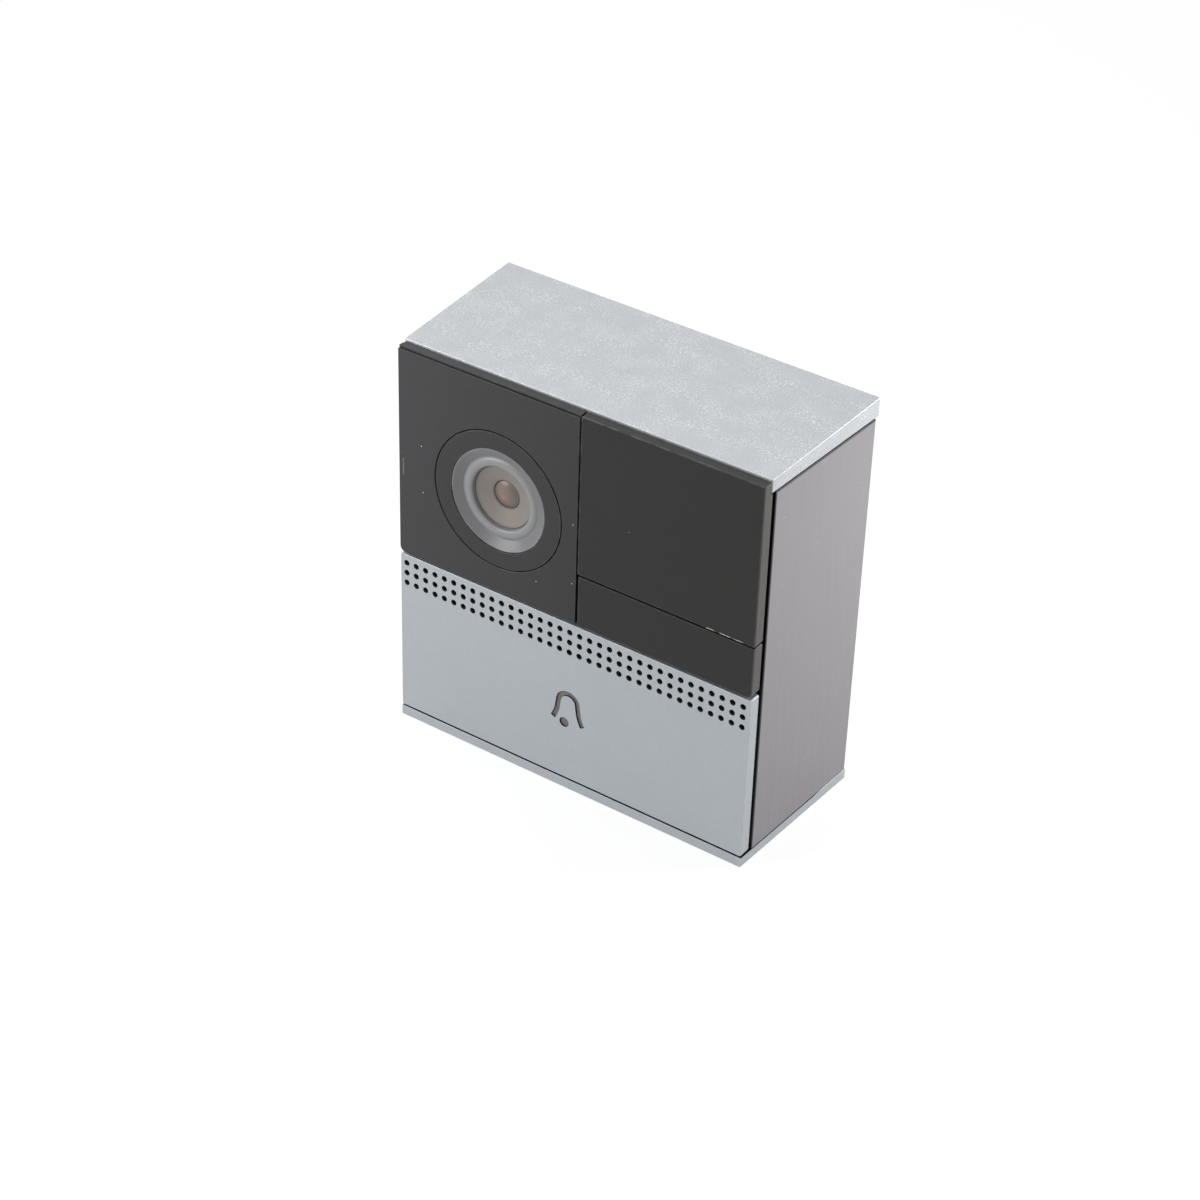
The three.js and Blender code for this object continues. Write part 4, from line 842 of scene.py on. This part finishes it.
# %% [markdown]
# The bell on the plate is a slot that a smoked light guide fills from behind. Its line leans out
# down both sides, turns out at the feet and is round on top; the clapper is a dot that sits left of
# the middle. The same outline, a little wider, cuts the slot.

# %% Bell outline
BELL_Z = 20.15  # middle of the round top
BELL_R = 2.2
STROKE = 1.04  # width of the line


def bell_outline(width, steps=28):
    foot, ankle, calf = (3.42, -4.3), (2.64, -2.9), (2.42, -1.5)
    line = [tuple((1 - t) ** 2 * a + 2 * t * (1 - t) * b + t * t * c for a, b, c in zip(foot, ankle, calf))
            for t in (i / 8 for i in range(9))]
    line += [(BELL_R * math.cos(math.pi * i / steps), BELL_R * math.sin(math.pi * i / steps))
             for i in range(steps + 1)]
    line += [(-x, z) for x, z in line[8::-1]]
    sides = {1: [], -1: []}
    for i, (x, z) in enumerate(line):
        before, after = line[max(i - 1, 0)], line[min(i + 1, len(line) - 1)]
        along = Vector((after[0] - before[0], after[1] - before[1])).normalized()
        for side, points in sides.items():
            points.append((x + side * along.y * width / 2, BELL_Z + z - side * along.x * width / 2))
    return sides[1] + sides[-1][::-1]


print("bell is", round(max(x for x, _ in bell_outline(STROKE)) * 2, 1), "mm wide")

# %% [markdown]
# The push plate is a shallow tray that hangs on two ears at its top. It starts as a slab with
# softened edges and is hollowed from behind. The ears, the stops and the post that presses the
# switch are joined on, and the grille, the bell and the bores are cut last, so that nothing joined
# later can fill a hole. The light guide is the bell's outline on a small flange behind the plate.

# %% Push plate and its light guide
RIM = 1.15
RIM_Y = millimetres("pir_window")[3]  # the plate's rim is as deep as the windows
PLATE_SKIN = 1.2
PIVOT_Y, PIVOT_Z, EAR_X = 4.9, 36.0, 32
POST_Z, STOP_X = 9.5, 24
DOT_X, DOT_Z = -0.78, BELL_Z - 4.65


def push_plate():
    plate = slab("push_plate", rounded(x0, x1, plate_z0, plate_z1, (0.4,) * 4), 0, RIM_Y)
    soften(plate, 0.11)
    plate.data.materials.append(plate_metal)
    cut(plate, block("hollow", x0 + RIM, x1 - RIM, PLATE_SKIN, 4, plate_z0 + RIM, plate_z1 - RIM))
    extra = [rod("post", 1.8, 1, 6, 0, POST_Z)]
    for side in (-1, 1):
        middle = side * EAR_X
        extra.append(rod("stop_boss", 1.5, 1, RIM_Y, side * STOP_X, plate_z0 + 4))
        extra.append(block("ear_root", middle - 0.71, middle + 0.71, 1, RIM_Y - 0.05, PIVOT_Z,
                           plate_z1 - 0.4))
        extra.append(block("ear_arm", middle - 0.73, middle + 0.73, 1.1, PIVOT_Y, PIVOT_Z - 1.15,
                           PIVOT_Z + 1.15))
        extra.append(lying_rod("ear", 1.2, middle - 0.75, middle + 0.75, PIVOT_Y, PIVOT_Z))
    join(plate, *extra)
    bores = [lying_rod("bore", 0.7, side * EAR_X - 2, side * EAR_X + 2, PIVOT_Y, PIVOT_Z) for side in (-1, 1)]
    slot = slab("slot", bell_outline(STROKE + 0.1), -1, PLATE_SKIN + 0.1)
    dot = rod("dot", 1.08, -1, PLATE_SKIN + 0.1, DOT_X, DOT_Z)
    for tool in (slot, dot):
        tool.data.materials.append(hole_plastic)
    return cut(plate, punches, slot, dot, *bores)


fit(polish(push_plate()), plate_metal, "button", "satin_aluminium", "button_plate")

guide = slab("bell_guide", bell_outline(STROKE), 0.3, 1.5)
flange = block("flange", -5.2, 5.2, PLATE_SKIN, 2.4, BELL_Z - 5.8, BELL_Z + 3.8)
join(guide, flange, rod("clapper", 1.03, 0.3, 1.5, DOT_X, DOT_Z))
fit(polish(guide), guide_plastic, "button", "smoked_guide", "bell_light_guide")

# %% [markdown]
# The back. The wall bracket is a pressed steel plate, the seal is foam, and the housing is one black
# moulding. Their CAD shapes are right, so merged copies with rounded edges stand for them. The
# locking screw under the base is turned, and its head has a six-sided socket.

# %% Housing, seal, bracket and locking screw
housing = polish(soften(fine_copy("housing_fine", "rear_housing"), 0.2, 2))
fit(housing, housing_plastic, "case", "chassis_black", "rear_housing")
seal = polish(soften(fine_copy("wall_seal", "wall_gasket"), 0.15, 2))
fit(seal, rubber, "case", "black_rubber", "wall_gasket")
bracket = polish(soften(fine_copy("bracket_fine", "wall_bracket"), 0.15, 2))
fit(bracket, steel, "case", "stainless_steel", "wall_bracket")


def locking_screw(head_r=2.6, shank_r=1.25, socket_r=1.2):
    obj = upright_rod("locking_screw", head_r, 0.15, 1.4, 0, LUG_Y)
    soften(obj, 0.2)
    join(obj, upright_rod("shank", shank_r, 1.3, 11.2, 0, LUG_Y))
    return cut(obj, upright_rod("socket", socket_r, 0, 1, 0, LUG_Y, 6))


fit(polish(locking_screw()), steel, "case", "stainless_steel", "security_screw")

# %% [markdown]
# Two small rows that repeat are grown by Geometry Nodes: the slotted screws of the terminal block,
# and the spring contacts inside the network socket.

# %% Terminal screws and socket contacts
SCREW_COUNT, SCREW_PITCH = 5, 5
CONTACT_COUNT, CONTACT_PITCH = 8, 1.02


def row_tree(name, shape_of):
    tree, given, end = new_tree(name, {
        "Count": "Int", "Pitch": "Float", "First": "Vector", "Finish": "Material"})
    step = add(tree, "ShaderNodeCombineXYZ", {}, {0: given["Pitch"]})
    line = add(tree, "GeometryNodeMeshLine", {}, {
        "Count": given["Count"], "Start Location": given["First"], "Offset": step.outputs[0]})
    placed = add(tree, "GeometryNodeInstanceOnPoints", {},
                 {"Points": line.outputs[0], "Instance": shape_of(tree)})
    close_tree(tree, end, placed.outputs[0], given["Finish"])
    return tree


def slotted_head(tree):
    head = add(tree, "GeometryNodeMeshCylinder", {"Vertices": 32, "Radius": 1.5 * MM, "Depth": 1.2 * MM})
    blade = add(tree, "GeometryNodeMeshCube", {"Size": (4 * MM, 0.5 * MM, 0.8 * MM)})
    lifted = add(tree, "GeometryNodeTransform", {"Translation": (0, 0, -0.6 * MM)}, {0: blade.outputs[0]})
    slotted = add(tree, "GeometryNodeMeshBoolean", {"operation": "DIFFERENCE", "solver": "EXACT"},
                  {0: head.outputs[0], 1: lifted.outputs[0]})
    return add(tree, "GeometryNodeTransform", {"Rotation": (math.pi / 2, 0, 0)},
               {0: slotted.outputs[0]}).outputs[0]


def contact_wire(tree):
    wire = add(tree, "GeometryNodeMeshCube", {"Size": (0.35 * MM, 6.5 * MM, 0.3 * MM)})
    return add(tree, "GeometryNodeTransform", {"Rotation": (math.radians(16), 0, 0)},
               {0: wire.outputs[0]}).outputs[0]


jack_low, jack_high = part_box("ethernet_jack")
block_low, block_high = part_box("terminal_block")
screw_first = Vector((block_low.x + 2.5 * MM, block_high.y - 0.9 * MM, block_low.z + 7 * MM))
screws = grow("terminal_screws", row_tree("screw_row", slotted_head),
              {"Count": SCREW_COUNT, "Pitch": SCREW_PITCH * MM, "First": screw_first, "Finish": steel})
jack_middle = (jack_low.x + jack_high.x) / 2
half_row = (CONTACT_COUNT - 1) / 2 * CONTACT_PITCH
contact_first = Vector((jack_middle - half_row * MM, jack_high.y - 4.2 * MM, jack_low.z + 3.4 * MM))
contacts = grow("socket_contacts", row_tree("contact_row", contact_wire),
                {"Count": CONTACT_COUNT, "Pitch": CONTACT_PITCH * MM, "First": contact_first, "Finish": gold})
for row in (screws, contacts):
    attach(row, "case")

# %% [markdown]
# Everything else keeps its CAD shape: the chassis, the boards, the sensors and the service buttons.
# Each gets the finish of its own material, found by the material slot that the record gives it.

# %% Finishes for the pieces that keep their CAD shape
FINISH_OF_SLOT = {
    "satin_aluminium": plate_metal, "dark_anodised": panel_metal, "black_abs": fascia_plastic,
    "infrared_plastic": window_plastic, "chassis_black": chassis_plastic, "grey_bezel": bezel_plastic,
    "barrel_grey": barrel_plastic, "lens_glass": lens_glass, "smoked_guide": guide_plastic,
    "stainless_steel": steel, "black_rubber": rubber, "acoustic_fabric": cloth, "circuit_board": board,
    "black_component": epoxy, "green_nylon": nylon,
}
for part in frame["record"]["subparts"]:
    for holder in frame["nodes"][part["node"]].material_slots:
        holder.material = FINISH_OF_SLOT[part["material_slot"]]
print("nodes:", len(frame["nodes"]))

# %% [markdown]
# The studio is plain: a pale floor, a white surround and three soft lamps. Cameras and reflections
# see the surround as white, while the light that falls on the object comes at a plain level. The
# floor keeps a faint shadow.

# %% Floor, surround and lamps
WHITE = (1, 1, 1, 1)
AIM = Vector((0, 0, 0.04))  # the lamps point at the middle of the case


def seen_rays(tree):
    """1 for rays from the camera and for reflected and passed rays."""
    path = add(tree, "ShaderNodeLightPath").outputs
    either = add(tree, "ShaderNodeMath", {"operation": "MAXIMUM"},
                 {0: path["Is Camera Ray"], 1: path["Is Glossy Ray"]})
    return add(tree, "ShaderNodeMath", {"operation": "MAXIMUM"},
               {0: either.outputs[0], 1: path["Is Transmission Ray"]}).outputs[0]


def floor_material():
    material = bpy.data.materials.new("pale_paper_floor")
    material.use_nodes = True
    tree = material.node_tree
    tree.nodes.clear()
    lit = add(tree, "ShaderNodeBsdfDiffuse", {"Color": (0.8, 0.8, 0.8, 1)})
    faint = add(tree, "ShaderNodeBsdfDiffuse", {"Color": (0.3, 0.3, 0.3, 1)})
    glow = add(tree, "ShaderNodeEmission", {"Color": WHITE, "Strength": 0.8})
    paper = add(tree, "ShaderNodeAddShader", {}, {0: faint.outputs[0], 1: glow.outputs[0]})
    mixed = add(tree, "ShaderNodeMixShader", {}, {0: seen_rays(tree), 1: lit.outputs[0], 2: paper.outputs[0]})
    underside = add(tree, "ShaderNodeNewGeometry").outputs["Backfacing"]
    clear = add(tree, "ShaderNodeBsdfTransparent")  # from below the floor is not there
    one_sided = add(tree, "ShaderNodeMixShader", {}, {0: underside, 1: mixed.outputs[0], 2: clear.outputs[0]})
    add(tree, "ShaderNodeOutputMaterial", {}, {0: one_sided.outputs[0]})
    return material


def make_floor():
    reach = 3
    shape = bmesh.new()
    shape.faces.new([shape.verts.new((x, y, -0.02 * MM)) for x, y in
                     ((-reach, -reach), (reach, -reach), (reach, reach), (-reach, reach))])
    floor = object_from("floor", shape)
    floor.data.materials.append(floor_material())


def make_surround(level):
    world = bpy.data.worlds.new("surround")
    world.use_nodes = True
    tree = world.node_tree
    tree.nodes.clear()
    light = add(tree, "ShaderNodeBackground", {"Color": WHITE, "Strength": level})
    seen = add(tree, "ShaderNodeBackground", {"Color": WHITE, "Strength": 1})
    mixed = add(tree, "ShaderNodeMixShader", {},
                {0: seen_rays(tree), 1: light.outputs[0], 2: seen.outputs[0]})
    add(tree, "ShaderNodeOutputWorld", {}, {0: mixed.outputs[0]})
    bpy.context.scene.world = world


def make_lamp(name, place, size, power):
    data = bpy.data.lights.new(name, "AREA")
    data.size = size
    data.energy = power
    lamp = new_object(name, data)
    lamp.location = place
    lamp.rotation_euler = (AIM - lamp.location).to_track_quat("-Z", "Y").to_euler()


make_floor()
make_surround(0.42)
make_lamp("lamp_above", (-0.25, 0.2, 0.7), 0.5, 1.3)
make_lamp("lamp_right", (0.15, 0.12, 0.09), 0.08, 0.2)
make_lamp("lamp_front", (-0.24, -0.26, 0.16), 0.2, 0.7)
bpy.context.scene.view_settings.view_transform = "Standard"
print("lamps:", len(bpy.data.lights))
